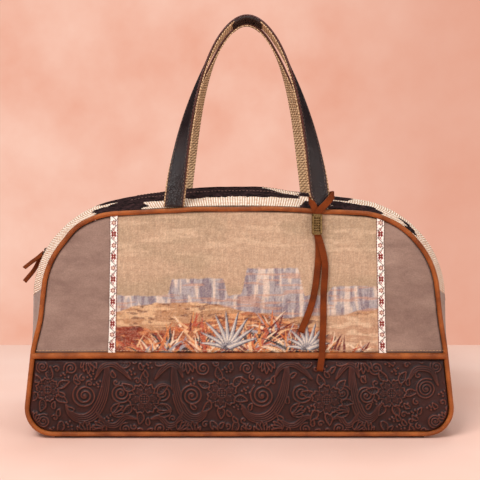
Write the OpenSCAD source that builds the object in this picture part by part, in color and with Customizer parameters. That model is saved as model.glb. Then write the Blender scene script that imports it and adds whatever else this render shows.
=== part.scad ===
// Soft weekender bag with a domed outline: cloth centre, suede sides, a tooled leather band,
// a bulging gusset closed by a two-way zip, twisted strap handles and a lace tassel.
// The origin is on the floor under the middle of the bag. The front faces -Y, up is +Z.

/* [Front and back] */
// Width between the middles of the side pipings, at the widest place
body_w = 516; // [480:2:550]
// Height of the front, up to the middle of its top piping
body_h = 280; // [262:1:300]
// Depth between the front and back seams at the base
base_depth = 212; // [190:2:236]
// Angle by which the front and the back lean in
panel_lean = 2.2; // [0:0.2:4]
// Angle by which the sides lean in
side_lean = 7; // [5:0.5:9]
// Radius of the bottom corners
corner_r = 32; // [28:1:38]
// Radius of the shoulders
shoulder_r = 102; // [94:1:112]
// Radius of the slow curve along the top seam
crown_r = 1900; // [1400:50:2600]
// Radius of the slow curve along the top of the ridge
ridge_crown_r = 750; // [650:25:1200]
// Thickness of the cloth and suede, with their backing
panel_t = 3; // [2:0.5:4]
// How far the cloth, ribbons and handles are centred to the right of the middle
centre_x = 9.5; // [0:0.5:14]

/* [Leather band] */
// Height of the band, up to the middle of its piping
band_h = 101; // [85:1:120]
// How far the band's face stands in front of the cloth
band_raise = 0.6; // [0:0.2:1.2]
// Diameter of the piping along the top of the band
band_piping_d = 8.2; // [6.6:0.2:9.4]
// Diameter of the piping round the front and the back
edge_piping_d = 6.6; // [5:0.2:8]
// Height of the middle of the lowest edge piping
seam_z = 4.6; // [4:0.2:6]

/* [Ribbons] */
// Width of a ribbon
ribbon_w = 9.5; // [7:0.5:14]
// Thickness of a ribbon
ribbon_t = 0.8; // [0.5:0.1:1.4]
// Distance of a ribbon from the cloth's middle, at the band
ribbon_low = 164; // [150:1:175]
// Distance of a ribbon from the cloth's middle, at the top
ribbon_high = 159; // [148:1:172]

/* [Gusset] */
// Thickness of the gusset
gusset_t = 3; // [2:0.5:4]
// How far the middle of the sides stands out beyond the seams
side_swell = 5.5; // [4:0.5:8]
// How far the ridge stands above the seams
top_swell = 18; // [12:1:24]
// How much larger the ridge's shoulders are than the seams'
shoulder_swell = 20; // [14:1:26]
// How far the ridge sags at the right of the handles
sag = 11; // [0:1:16]

/* [Zip] */
// Width of the slot between the two halves of the zip gusset
slot_w = 12; // [11:0.5:15]
// Distance from one zip tooth to the next
tooth_pitch = 5; // [4:0.5:8]
// Width of a row of teeth
tooth_w = 2.7; // [2:0.1:3]
// Angle of the left slider above the middle of its shoulder
left_slider_angle = 27.5; // [24:0.5:34]
// Angle of the right slider above the middle of its shoulder
right_slider_angle = 4.3; // [4.3:0.1:8]
// Length of a slider
slider_l = 14; // [11:0.5:17]
// Width of a slider
slider_w = 9.6; // [9:0.2:10.4]
// Length of the right puller, from its pin to its tip
puller_l = 19; // [15:1:26]

/* [Handles] */
// Distance between the middles of a handle's two feet
foot_span = 172; // [160:2:190]
// Height of a handle above its feet
handle_h = 230; // [200:2:260]
// Width of the strap's lining
strap_w = 25; // [20:0.5:28]
// Width of the strap's leather
leather_w = 21.6; // [17:0.4:24]
// Thickness of the strap's leather
leather_t = 2.6; // [1.8:0.2:3]
// Thickness of the strap's lining
lining_t = 1.4; // [1:0.1:2]
// Angle by which the handles lean in
handle_lean = 8.7; // [6:0.1:10]
// Height of the fold above the foot, where the handle swings
fold_h = 23; // [21:1:28]
// Share of the handle's run, from its foot, over which the strap turns face up
turn_end = 0.72; // [0.6:0.02:0.9]
// Angle by which the strap has turned face up at its top
turn_top = 90; // [82:1:96]
// Length of the grip's underside from its middle, as a share of the half run
grip_share = 0.16; // [0.1:0.01:0.25]

/* [Tassel] */
// Width of the bead
bead_w = 12.4; // [11:0.2:15]
// Height of the bead
bead_h = 25; // [20:0.5:30]
// Thickness of the bead
bead_t = 6.4; // [5.8:0.2:8]
// Width of the tassel's lace
lace_w = 8; // [6:0.5:8.5]
// Thickness of the laces
lace_t = 1.6; // [1.2:0.1:1.9]
// Width of the left slider's pull laces
pull_lace_w = 5; // [4:0.5:6]

/* [Hidden] */

$fn = 48;
// Clearance between pieces that are sewn or laid side by side
fit = 0.2;
// Clearance between pieces that move past each other
gap = 0.3;
edge_r = edge_piping_d / 2;
band_r = band_piping_d / 2;
corner_steps = 7;
side_steps = 4;
shoulder_steps = 13;
crown_steps = 18;

function arc_of(length, r) = length / r * 180 / PI;

// Outline of the seams and of the ridge
// A domed outline is [corner middle, corner radius, lean, shoulder middle, shoulder radius,
// crown middle, crown radius, turn of the crown], for its right half
function dome(w, z0, h, rc, lean, rs, rk) =
    let (cc = [w / 2 - rc, z0 + rc],
         d = cc * [cos(lean), sin(lean)] + rc,
         k = rk - rs,
         turn = asin((d - rs - (h - rk) * sin(lean)) / k) - lean)
    [cc, rc, lean, [k * sin(turn), h - rk + k * cos(turn)], rs, [0, h - rk], rk, turn];

ridge_lean = 0.6;
seam = dome(body_w, seam_z, body_h, corner_r, side_lean, shoulder_r, crown_r);
ridge = dome(body_w + 2 * side_swell, gusset_t / 2, body_h + top_swell,
             corner_r + seam_z - gusset_t / 2, ridge_lean, shoulder_r + shoulder_swell, ridge_crown_r);

// A station is [centre, radius, angle of the outward normal]
function corner_run(o) =
    [for (i = [0:corner_steps]) [o[0], o[1], -90 + (o[2] + 90) * i / corner_steps]];
function side_run(o) =
    let (n = [cos(o[2]), sin(o[2])], a = o[0] + o[1] * n, b = o[3] + o[4] * n)
    [for (i = [1:side_steps - 1]) [a + (b - a) * i / side_steps, 0, o[2]]];
function shoulder_run(o) =
    [for (i = [0:shoulder_steps]) [o[3], o[4], o[2] + (90 - o[7] - o[2]) * i / shoulder_steps]];
function crown_run(o) =
    [for (i = [1:crown_steps]) [o[5], o[6], 90 - o[7] + o[7] * i / crown_steps]];
function lower_run(o) = concat(corner_run(o), side_run(o), [shoulder_run(o)[0]]);
function whole_run(o) = concat(corner_run(o), side_run(o), shoulder_run(o), crown_run(o));
// The upper run starts a seam's width above the end of the lower one
function upper_run(o) =
    let (r = shoulder_run(o))
    concat([[o[3], o[4], o[2] + arc_of(fit, o[4])]], [for (i = [1:shoulder_steps]) r[i]], crown_run(o));

function place(st, off) = st[0] + (st[1] + off) * [cos(st[2]), sin(st[2])];
function flip(p) = [-p[0], p[1]];
function reversed(list) = [for (i = [len(list) - 1:-1:0]) list[i]];
function right_half(o, off) = [for (st = whole_run(o)) place(st, off)];
function closed_outline(o, off) =
    let (r = right_half(o, off))
    concat(r, [for (i = [len(r) - 2:-1:0]) flip(r[i])]);

// Half of the depth at a height on the front seam
function half_depth(s) = base_depth / 2 - s * sin(panel_lean);
function ramp(t) = let (u = max(0, min(1, t))) u * u * (3 - 2 * u);
// Drop of the ridge at a place along the bag
function sag_at(x) = sag * ramp((x - 28) / 52) * ramp((168 - x) / 60);

// The front lies in a plane that leans in, and the back is its mirror image
module on_front() {
    translate([0, -base_depth / 2, 0]) rotate([90 - panel_lean, 0, 0]) children();
}
module on_back() {
    mirror([0, 1, 0]) on_front() children();
}
// A point of the front, with its distance out from the cloth's face
function front_point(p) =
    [p[0],
     -base_depth / 2 + p[1] * sin(panel_lean) - p[2] * cos(panel_lean),
     p[1] * cos(panel_lean) + p[2] * sin(panel_lean)];

// Closed solid between two grids of points that share their four edges' layout
module shell(outer, inner) {
    rows = len(outer);
    cols = len(outer[0]);
    n = rows * cols;
    points = concat([for (r = outer) for (p = r) p], [for (r = inner) for (p = r) p]);
    sheets = [for (i = [0:rows - 2]) for (j = [0:cols - 2])
        let (a = i * cols + j, b = a + 1, c = a + cols + 1, d = a + cols)
        each [[a, b, c], [a, c, d], [n + a, n + c, n + b], [n + a, n + d, n + c]]];
    ends = [for (j = [0:cols - 2])
        let (a = j, b = j + 1, c = (rows - 1) * cols + j, d = c + 1)
        each [[a, n + a, n + b], [a, n + b, b], [c, d, n + d], [c, n + d, n + c]]];
    rims = [for (i = [0:rows - 2])
        let (a = i * cols, b = a + cols, c = a + cols - 1, d = c + cols)
        each [[a, b, n + b], [a, n + b, n + a], [c, n + c, n + d], [c, n + d, d]]];
    polyhedron(points, concat(sheets, ends, rims));
}

// Solid swept through rings of points, open or closed to a loop
module sweep(rings, loop = false) {
    rows = len(rings);
    m = len(rings[0]);
    points = [for (r = rings) for (p = r) p];
    walls = [for (i = [0:rows - (loop ? 1 : 2)]) for (j = [0:m - 1])
        let (k = (i + 1) % rows, l = (j + 1) % m,
             a = i * m + j, b = i * m + l, c = k * m + l, d = k * m + j)
        each j < m / 2 ? [[a, b, c], [a, c, d]] : [[a, b, d], [b, c, d]]];
    caps = loop ? [] : [[for (j = [m - 1:-1:0]) j], [for (j = [0:m - 1]) (rows - 1) * m + j]];
    polyhedron(points, concat(walls, caps));
}

// Front and back panels
module face_shape() {
    polygon(closed_outline(seam, -edge_r - fit));
}
ribbon_turn = (ribbon_low - ribbon_high) / (body_h - band_h);
function ribbon_x(side, s) = centre_x + side * (ribbon_low - ribbon_turn * (s - band_h));
// Part of the face above the band, between two lines that follow the ribbons
module face_strip(left_side, left_off, right_side, right_off) {
    low = band_h + band_r + fit;
    high = body_h;
    far = body_w;
    intersection() {
        face_shape();
        polygon([
            [left_side == 0 ? -far : ribbon_x(left_side, low) + left_off, low],
            [right_side == 0 ? far : ribbon_x(right_side, low) + right_off, low],
            [right_side == 0 ? far : ribbon_x(right_side, high) + right_off, high],
            [left_side == 0 ? -far : ribbon_x(left_side, high) + left_off, high]]);
    }
}
module panel(from, to) {
    translate([0, 0, from]) linear_extrude(to - from) children();
}
module cloth_panel(tone) {
    color(tone) panel(-panel_t, 0) face_strip(-1, fit / 2, 1, -fit / 2);
}
module left_side_panel() {
    color("rosybrown") panel(-panel_t, 0) face_strip(0, 0, -1, -fit / 2);
}
module right_side_panel() {
    color("rosybrown") panel(-panel_t, 0) face_strip(1, fit / 2, 0, 0);
}
module ribbon(side) {
    color("antiquewhite") panel(fit / 2, fit / 2 + ribbon_t)
        face_strip(side, -ribbon_w / 2, side, ribbon_w / 2);
}
module band() {
    color([0.25, 0.13, 0.11]) panel(-panel_t, band_raise) intersection() {
        face_shape();
        translate([-body_w, 0]) square([2 * body_w, band_h - band_r - fit]);
    }
}
// The band's piping is a straight cord in leather with rounded ends, inside the edge piping
function line_x(o, s, off) =
    let (n = [cos(o[2]), sin(o[2])], a = o[0] + (o[1] + off) * n)
    a[0] - (s - a[1]) * tan(o[2]);
module band_piping() {
    half = line_x(seam, band_h, -edge_r - fit) - band_r * sin(side_lean);
    color("sienna") translate([0, band_h, 0]) rotate([0, 90, 0]) rotate_extrude()
        polygon(concat(
            [for (a = [-90:15:0]) [band_r * cos(a), -half + band_r + band_r * sin(a)]],
            [for (a = [0:15:90]) [band_r * cos(a), half - band_r + band_r * sin(a)]]));
}
piping_sides = 10;
module edge_piping() {
    line = closed_outline(seam, 0);
    normals = let (r = [for (st = whole_run(seam)) [cos(st[2]), sin(st[2])]])
        concat(r, [for (i = [len(r) - 2:-1:0]) flip(r[i])]);
    color("sienna") sweep([for (i = [0:len(line) - 1])
        [for (j = [0:piping_sides - 1])
            let (a = 360 * j / piping_sides, e = edge_r * cos(a))
            [line[i][0] + normals[i][0] * e, line[i][1] + normals[i][1] * e, edge_r * sin(a)]]],
        loop = true);
}

// Gusset between the front and back seams
edge_gap = edge_r + fit;
// Fullness of the bulge: nearly flat across the base, rounder further up
function fullness(z) = 8 - 5.8 * ramp(z / 120);
// Share of the sag at a share of the half depth: whole beside the zip, fading towards the seam
sag_flat = 0.12;
sag_end = 0.7;
function sag_share(u) = pow(1 - min(1, max(0, u - sag_flat) / (sag_end - sag_flat)), 2);
// Point on the gusset: v runs from 0 beside the slot to 1 at the seam
function gusset_point(a, b, side, sign, v, off, slot) =
    let (hd = half_depth(a[1]) - edge_gap,
         y = slot / 2 + v * (hd - slot / 2),
         p = b + (a - b) * pow(y / hd, fullness(b[1])),
         drop = b[1] > body_h / 2 ? sag_at(side * p[0]) * sag_share(y / hd) : 0)
    [side * p[0], sign * y, p[1] - drop];
function gusset_row(seam_st, ridge_st, side, sign, vs, off, slot) =
    let (a = place(seam_st, off), b = place(ridge_st, off))
    [for (v = vs) gusset_point(a, b, side, sign, v, off, slot)];
function half_rows(side, sign, vs, off, slot) =
    let (s = upper_run(seam), r = upper_run(ridge))
    [for (i = [0:len(s) - 1]) gusset_row(s[i], r[i], side, sign, vs, off, slot)];
// Rows of a zip gusset from its left end over the crown to its right end
function zip_rows(sign, vs, off, slot) =
    let (l = half_rows(-1, sign, vs, off, slot), r = half_rows(1, sign, vs, off, slot))
    concat(l, [for (i = [len(r) - 2:-1:0]) r[i]]);
zip_vs = [1, 0.925, 0.81, 0.6, 0.3, 0.06, 0];
module zip_gusset(sign, tone) {
    out = zip_rows(sign, zip_vs, gusset_t / 2, slot_w);
    in = zip_rows(sign, zip_vs, -gusset_t / 2, slot_w);
    color(tone) if (sign < 0) shell(out, in);
    else shell(in, out);
}
// The side gusset's edge has the same points as the zip gusset's edge that it meets
slot_share = slot_w / 2 / (half_depth(place(shoulder_run(seam)[0], 0)[1]) - edge_gap);
side_vs = concat([for (v = zip_vs) slot_share + v * (1 - slot_share)], [0]);
function lower_rows(side, off) =
    let (s = lower_run(seam), r = lower_run(ridge))
    [for (i = [0:len(s) - 1])
        concat(gusset_row(s[i], r[i], side, -1, side_vs, off, 0),
               [for (k = [len(side_vs) - 2:-1:0])
                   gusset_row(s[i], r[i], side, 1, [side_vs[k]], off, 0)[0]])];
module side_gusset(side) {
    out = lower_rows(side, gusset_t / 2);
    in = lower_rows(side, -gusset_t / 2);
    color("rosybrown") if (side > 0) shell(in, out);
    else shell(out, in);
}
// The ends of the base follow the lowest edges of the side gussets
module base_panel() {
    ends = gusset_row(lower_run(seam)[0], lower_run(ridge)[0], 1, 1, side_vs, 0, 0);
    quarter = [for (p = ends) [p[0] - fit, p[1]]];
    color([0.25, 0.13, 0.11]) linear_extrude(gusset_t) polygon(concat(
        quarter, [for (i = [len(quarter) - 2:-1:0]) [quarter[i][0], -quarter[i][1]]],
        [for (p = quarter) [-p[0], -p[1]]], [for (i = [len(quarter) - 2:-1:0]) [-quarter[i][0], quarter[i][1]]]));
}
board_t = 2.4;
board_margin = 14;
module base_board() {
    w = 2 * ridge[0][0] - 2 * board_margin;
    d = base_depth - 2 * edge_gap - 2 * board_margin;
    color("dimgray") translate([-w / 2, -d / 2, gusset_t]) cube([w, d, board_t]);
}

// Zip along the ridge
tape_t = 0.8;
tape_top = -gusset_t / 2 - fit;
tooth_top = 0.3;
tooth_low = tooth_top - 1.1;
row_gap = 0.5;
tape_v = 0.1;
tape_inner = 1.2;
function tape_rows(sign, off) = zip_rows(sign, [tape_v, 0], off, 2 * tape_inner);
module zip_tape(sign) {
    out = tape_rows(sign, tape_top);
    in = tape_rows(sign, tape_top - tape_t);
    color([0.1, 0.08, 0.08]) if (sign < 0) shell(out, in);
    else shell(in, out);
}
left_end = left_slider_angle - 6;
right_end = right_slider_angle - 3;
shoulder_top = 90 - ridge[7];
// Stations of half a tooth pitch along the ridge, from one end of the zip to the other
function tooth_stations(end) =
    let (step = arc_of(tooth_pitch / 2, ridge[4]), crown_step = arc_of(tooth_pitch / 2, ridge[6]))
    concat([for (a = [end:step:shoulder_top - step / 2]) [ridge[3], ridge[4], a]],
           [for (a = [shoulder_top:crown_step:90 - crown_step / 2]) [ridge[5], ridge[6], a]]);
function ridge_place(st, off, side) =
    let (p = place(st, off)) [side * p[0], p[1] - sag_at(side * p[0])];
function ridge_line(off_even, off_odd) =
    let (l = tooth_stations(left_end), r = tooth_stations(right_end))
    concat([for (i = [0:len(l) - 1]) ridge_place(l[i], i % 2 == 0 ? off_even : off_odd, -1)],
           [for (i = [len(r) - 1:-1:0]) ridge_place(r[i], i % 2 == 0 ? off_even : off_odd, 1)]);
module teeth(sign) {
    top = sign < 0 ? ridge_line(tooth_top, tooth_low) : ridge_line(tooth_low, tooth_top);
    seat = tape_top + 2 * gap;
    base = ridge_line(seat, seat);
    color("black") translate([0, sign > 0 ? row_gap + tooth_w : -row_gap, 0])
        rotate([90, 0, 0]) linear_extrude(tooth_w) polygon(concat(top, reversed(base)));
}

// Ring sector round the middle of a shoulder: radii, width along Y, and the angles it covers
module sector(r0, r1, y0, y1, a0, a1) {
    rotate([90, 0, 0]) rotate([0, 0, a0]) rotate_extrude(angle = a1 - a0, $fn = 96)
        polygon([[r0, -y1], [r1, -y1], [r1, -y0], [r0, -y0]]);
}
ridge_r = ridge[4];
module at_shoulder(side) {
    translate([side * ridge[3][0], 0, ridge[3][1]]) children();
}
tab_t = 1.6;
tab_w = 24;
tab_l = 16;
tab_r = ridge_r + gusset_t / 2 + gap;
// The left tab covers the slot from the teeth down to the side gusset
module zip_tab_left() {
    color("saddlebrown") at_shoulder(-1)
        sector(tab_r, tab_r + tab_t, -tab_w / 2, tab_w / 2, 180 - left_end, 180 - ridge_lean);
}
// The right tab lies straight down the side gusset from the end of the teeth
module zip_tab_right() {
    color("saddlebrown") at_shoulder(1) rotate([0, -ridge_lean, 0])
        translate([tab_r, -tab_w / 2, -tab_l]) cube([tab_t, tab_w, tab_l]);
}
plate_t = 1.4;
plate_in = ridge_r + tooth_top + 2 * gap;
plate_out = plate_in + plate_t;
under_out = ridge_r + tape_top - tape_t - gap - fit;
flange_in = ridge_r + tape_top + 1.2;
bridge_h = 3.8;
bridge_w = 1.8;
bridge_l = 9;
eye_d = 2.4;
eye_r = plate_out + bridge_h - eye_d;
// A slider is drawn at the side of its shoulder, then turned up to its place
module slider(turn) {
    half = arc_of(slider_l, ridge_r) / 2;
    neck = arc_of(5, ridge_r) / 2;
    rotate([0, -turn, 0]) {
        sector(plate_in, plate_out, -slider_w / 2, slider_w / 2, -half, half);
        for (s = [-1, 1])
            translate([0, s * (slider_w / 2 - 0.45), 0]) sector(flange_in, plate_in + gap, -0.45, 0.45, -half, half);
        sector(under_out - gap, plate_in + gap, -row_gap + fit, row_gap - fit, -neck, neck);
        sector(under_out - plate_t, under_out, -slider_w / 2, slider_w / 2, -half, half);
        rotate([90, 0, 0]) translate([0, 0, -bridge_w / 2]) linear_extrude(bridge_w) difference() {
            polygon([[plate_out - gap, -bridge_l / 2], [eye_r + 1, -bridge_l / 2 + 2.4],
                [plate_out + bridge_h, -bridge_l / 2 + 3.6], [plate_out + bridge_h, bridge_l / 2 - 3.6],
                [eye_r + 1, bridge_l / 2 - 2.4], [plate_out - gap, bridge_l / 2]]);
            translate([eye_r, 0]) circle(d = eye_d);
        }
    }
}
module left_slider() {
    color([0.35, 0.33, 0.3]) at_shoulder(-1) slider(180 - left_slider_angle);
}
module right_slider() {
    color([0.3, 0.25, 0.18]) at_shoulder(1) slider(right_slider_angle);
}
// Middle of the eye that a puller hangs in
function eye_at(side, angle) =
    [side * (ridge[3][0] + eye_r * cos(angle)), 0, ridge[3][1] + eye_r * sin(angle)];
pin_d = 1.6;
ring_d = 8.4;
ring_wire = 1.4;
// Angle down from level at which the left ring hangs out from its eye
ring_hang = 52;
left_eye = eye_at(-1, left_slider_angle);
module left_pull_ring() {
    color([0.35, 0.33, 0.3]) translate(left_eye) rotate([0, -ring_hang, 0])
        translate([-ring_d / 2, 0, 0]) rotate_extrude() translate([ring_d / 2, 0]) circle(d = ring_wire, $fn = 16);
}
puller_w = 7;
puller_t = 1.4;
window_w = bridge_w + 3 * gap;
window_l = bridge_l / 2 + 2;
// Angle by which the puller leans out over the tab under it
puller_lean = 11;
module right_puller() {
    color([0.3, 0.25, 0.18]) translate(eye_at(1, right_slider_angle)) rotate([0, -puller_lean, 0]) {
        rotate([90, 0, 0]) translate([0, 0, -puller_w / 2]) cylinder(d = pin_d, h = puller_w, $fn = 24);
        rotate([0, 90, 0]) translate([0, 0, -puller_t / 2]) linear_extrude(puller_t) difference() {
            union() {
                translate([-pin_d / 2, -puller_w / 2]) square([puller_l - puller_w / 2 + pin_d / 2, puller_w]);
                translate([puller_l - puller_w / 2, 0]) circle(d = puller_w);
            }
            translate([-window_l, -window_w / 2]) square([2 * window_l, window_w]);
            translate([puller_l - puller_w / 2, 0]) circle(d = 3.2);
        }
    }
}

// Flat strip swept through points of [place, direction across the strip, face direction]
module strip(stops, w, t0, t1) {
    sweep([for (s = stops) let (a = s[1] * w / 2)
        [s[0] - a + s[2] * t0, s[0] + a + s[2] * t0, s[0] + a + s[2] * t1, s[0] - a + s[2] * t1]]);
}
function unit(v) = v / norm(v);
// Lace along chosen points: the strip lies across its path and faces the given direction
function lace_stops(points, face) =
    [for (i = [0:len(points) - 1])
        let (a = points[max(0, i - 1)], b = points[min(len(points) - 1, i + 1)],
             along = unit(b - a))
        [points[i], unit(cross(along, face)), face]];
module lace(points, w, face) {
    color("peru") strip(lace_stops(points, face), w, -lace_t / 2, lace_t / 2);
}
// The pull laces hang from the ring, out and down from the left shoulder
upper_route = [[-257.8, -1.4, 210.9], [-263.2, -4.2, 206.6], [-269.5, -9, 201.5], [-277.5, -18.5, 194]];
lower_route = [[-257.4, 1.4, 210.5], [-262.7, -0.8, 201.8], [-269.5, -3.2, 190], [-281, -6, 176.5]];
pull_face = unit([-0.3, -1, 0.25]);

// Handles
front_n = [0, -cos(handle_lean), sin(handle_lean)];
up_n = [0, sin(handle_lean), cos(handle_lean)];
// Back of the strap's foot, out from the cloth's face, and height of the feet
foot_out = -2;
// Drop of the crown at a place across the front
function crown_drop(x) = crown_r - sqrt(crown_r * crown_r - x * x);
left_drop = crown_drop(centre_x - foot_span / 2);
right_drop = crown_drop(centre_x + foot_span / 2);
foot_s = body_h - left_drop + edge_r + fit;
foot_at = front_point([centre_x, foot_s, foot_out]);
// The half run of a handle as a curve, from its foot at 0 to its top at 1
run_points = [[foot_span / 2, 0], [foot_span / 2 - 7.5, handle_h * 0.46], [foot_span * 0.26, handle_h],
              [0, handle_h]];
function curve(t) =
    let (u = 1 - t, p = run_points)
    u * u * u * p[0] + 3 * u * u * t * p[1] + 3 * u * t * t * p[2] + t * t * t * p[3];
function curve_dir(t) = unit(curve(min(1, t + 0.001)) - curve(t - 0.001));
// Share of the half run at a height near the foot
function share_at(h, lo = 0, hi = 0.3, n = 24) =
    n == 0 ? (lo + hi) / 2
    : curve((lo + hi) / 2)[1] < h ? share_at(h, (lo + hi) / 2, hi, n - 1) : share_at(h, lo, (lo + hi) / 2, n - 1);
fold_t = share_at(fold_h);
// The strap faces front at its foot and up at the top
function turn_at(t) =
    t <= fold_t ? 0 : turn_top * (1 - pow(1 - min(1, (t - fold_t) / (turn_end - fold_t)), 1.7));
function strap_stop(q) =
    let (side = q < 0 ? -1 : 1, t = 1 - abs(q), c = curve(t), d = curve_dir(t),
         lean = atan2(d[0], d[1]) * ramp((t - fold_t) / 0.12),
         m = [side * cos(lean), 0, 0] - sin(lean) * up_n,
         a = turn_at(t))
    [foot_at + [side * c[0], 0, 0] + up_n * c[1],
     cos(a) * m - sin(a) * front_n,
     cos(a) * front_n + sin(a) * m];
strap_steps = 58;
function strap_stops(q0, q1, n) = [for (i = [0:n]) strap_stop(q0 + (q1 - q0) * i / n)];
fold_gap = 0.25;
// The end of the moving strap is cut back behind the fold, so that it can lean in further
fold_cut = 9;
swing_q = 1 - share_at(fold_h + fold_gap);
// Ring of a strap, with its back edge raised at the fold
module strap_run(w, t0, t1, q) {
    stops = strap_stops(-q, q, strap_steps);
    last = len(stops) - 1;
    front = leather_t + fit;
    sweep([for (i = [0:last])
        let (s = stops[i], a = s[1] * w / 2,
             lift = (i == 0 || i == last) && q == swing_q ? tan(fold_cut) * up_n : [0, 0, 0],
             low = s[2] * t0 + lift * (front - t0),
             high = s[2] * t1 + lift * (front - t1))
        [s[0] - a + low, s[0] + a + low, s[0] + a + high, s[0] - a + high]]);
}
module handle_leather() {
    color([0.2, 0.11, 0.09]) strap_run(leather_w, fit, leather_t + fit, swing_q);
}
module handle_lining() {
    color("tan") strap_run(strap_w, -lining_t, 0, swing_q);
}
grip_t = 1.4;
module handle_grip() {
    color([0.27, 0.14, 0.1]) strap_run(leather_w, -lining_t - fit - grip_t, -lining_t - fit, grip_share);
}
// Share of its width that a foot keeps where the tassel's lace gathers it
gather = 0.5;
module strap_foot(side, low_w) {
    stops = [for (i = [0:4]) strap_stop(side * (1 - share_at(fold_h - fold_gap) * i / 4))];
    sweep([for (i = [0:4])
        let (s = stops[i], w = low_w + (strap_w - low_w) * ramp(i / 3), a = -side * s[1] * w / 2,
             drop = i == 0 && side > 0 ? (left_drop - right_drop) * up_n : [0, 0, 0],
             low = drop - lining_t * s[2], high = drop + (leather_t + fit) * s[2])
        [s[0] - a + low, s[0] + a + low, s[0] + a + high, s[0] - a + high]]);
}
module strap_feet(right_share) {
    color([0.2, 0.11, 0.09]) {
        strap_foot(-1, strap_w);
        strap_foot(1, strap_w * right_share);
    }
}

// Tassel: a lace looped round the right foot of the front handle, with a metal bead.
// The loop's stops are [across, up and out on the front, turn of its face to the left]
bead_x = 92.5;
bead_s = 249.2;
bead_out = 2.6;
bead_wall = 1;
low_lace = bead_out + bead_wall + 0.1 + lace_t / 2;
high_lace = low_lace + lace_t + fit / 2;
loop_route = [
    [bead_x - 0.8, bead_s + bead_h / 2 + 0.5, low_lace, 0], [bead_x - 1, bead_s + bead_h - 0.5, low_lace, 0],
    [bead_x - 3.2, 281.5, 4.6, 0], [86.5, 287, 3.4, 30], [82, 290, -1.8, 90], [83.4, 291.6, -7.6, 150],
    [95.5, 294.5, -8.2, 180], [106, 298.5, -8.2, 195], [109.8, 299.5, -3, 270], [107.4, 296.5, 2.6, 335],
    [101, 287.5, 5.6, 360], [bead_x + 3.4, 280, high_lace, 360], [bead_x + 1.1, bead_s + bead_h - 0.5, high_lace, 360],
    [bead_x + 0.8, bead_s + bead_h / 2 + 0.5, high_lace, 360]];
function front_dir(v) = front_point(v) - front_point([0, 0, 0]);
module lace_loop() {
    r = loop_route;
    last = len(r) - 1;
    color("peru") strip([for (i = [0:last])
        let (a = r[max(0, i - 1)], b = r[min(last, i + 1)],
             along = unit(front_dir([b[0] - a[0], b[1] - a[1], b[2] - a[2]])),
             face = front_dir([-sin(r[i][3]), 0, cos(r[i][3])]),
             across = unit(cross(along, face)))
        [front_point(r[i]), across, unit(cross(across, along))]], lace_w, -lace_t / 2, lace_t / 2);
}
module lace_bead() {
    r = 2.4;
    color([0.45, 0.38, 0.25]) on_front() translate([bead_x, bead_s, bead_out]) difference() {
        linear_extrude(bead_t) union() {
            translate([-bead_w / 2, r]) square([bead_w, bead_h - 2 * r]);
            translate([-bead_w / 2 + r, 0]) square([bead_w - 2 * r, bead_h]);
            for (x = [-1, 1]) for (z = [r, bead_h - r]) translate([x * (bead_w / 2 - r), z]) circle(r = r);
        }
        translate([-bead_w / 2 + bead_wall, -1, bead_wall])
            cube([bead_w - 2 * bead_wall, bead_h + 2, bead_t - 2 * bead_wall - 0.6]);
        translate([-bead_w / 2 + 1.6, 1.6, bead_t - 0.6]) cube([bead_w - 3.2, bead_h - 3.2, 1]);
    }
}
tail_top = bead_s + bead_h / 2 - 0.5;
tail_left_route = [[bead_x + 0.6, tail_top, low_lace], [bead_x + 1, bead_s + 0.5, low_lace],
                   [94.4, 242, 3.8], [94.8, 228, 2.6], [93.6, 208, 1.6], [90.6, 183, 1.4], [85.2, 160, 1.4],
                   [74, 131, 1.4]];
tail_right_route = [[bead_x + 0.8, tail_top, high_lace], [bead_x + 1.1, bead_s + 0.5, high_lace],
                    [96, 242, 5.8], [99.8, 228, 5.2], [102.4, 210, 4], [101, 178, 2.4], [101, 146, 2.2],
                    [100.2, 122, 4], [99.6, 104, 5.8], [97.2, 84, 3.4]];
module lace_tail(route) {
    lace([for (p = route) front_point(p)], lace_w, front_dir([0, 0, 1]));
}

on_front() cloth_panel("burlywood");  // front_cloth
on_front() left_side_panel();  // front_side_left
on_front() right_side_panel();  // front_side_right
on_front() ribbon(-1);  // front_ribbon_left
on_front() ribbon(1);  // front_ribbon_right
on_front() band();  // front_band
on_front() band_piping();  // front_band_piping
on_front() edge_piping();  // front_edge_piping
on_back() cloth_panel("burlywood");  // back_cloth
on_back() left_side_panel();  // back_side_left
on_back() right_side_panel();  // back_side_right
on_back() ribbon(-1);  // back_ribbon_left
on_back() ribbon(1);  // back_ribbon_right
on_back() band();  // back_band
on_back() band_piping();  // back_band_piping
on_back() edge_piping();  // back_edge_piping
zip_gusset(-1, "bisque");  // zip_gusset_front
zip_gusset(1, "bisque");  // zip_gusset_back
side_gusset(-1);  // side_gusset_left
side_gusset(1);  // side_gusset_right
base_panel();
base_board();
zip_tape(-1);  // zip_tape_front
zip_tape(1);  // zip_tape_back
teeth(-1);  // zip_teeth_front
teeth(1);  // zip_teeth_back
zip_tab_left();
zip_tab_right();
left_slider();
right_slider();
left_pull_ring();
right_puller();
lace(upper_route, pull_lace_w, pull_face);  // pull_lace_upper
lace(lower_route, pull_lace_w, pull_face);  // pull_lace_lower
strap_feet(gather);  // front_strap_feet
handle_leather();  // front_handle_leather
handle_lining();  // front_handle_lining
handle_grip();  // front_handle_grip
mirror([0, 1, 0]) strap_feet(1);  // back_strap_feet
mirror([0, 1, 0]) handle_leather();  // back_handle_leather
mirror([0, 1, 0]) handle_lining();  // back_handle_lining
mirror([0, 1, 0]) handle_grip();  // back_handle_grip
lace_loop();
lace_bead();
lace_tail(tail_left_route);  // lace_tail_left
lace_tail(tail_right_route);  // lace_tail_right
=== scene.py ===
import math
import bmesh
import bpy
import numpy as np
from mathutils import Matrix, Vector


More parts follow.
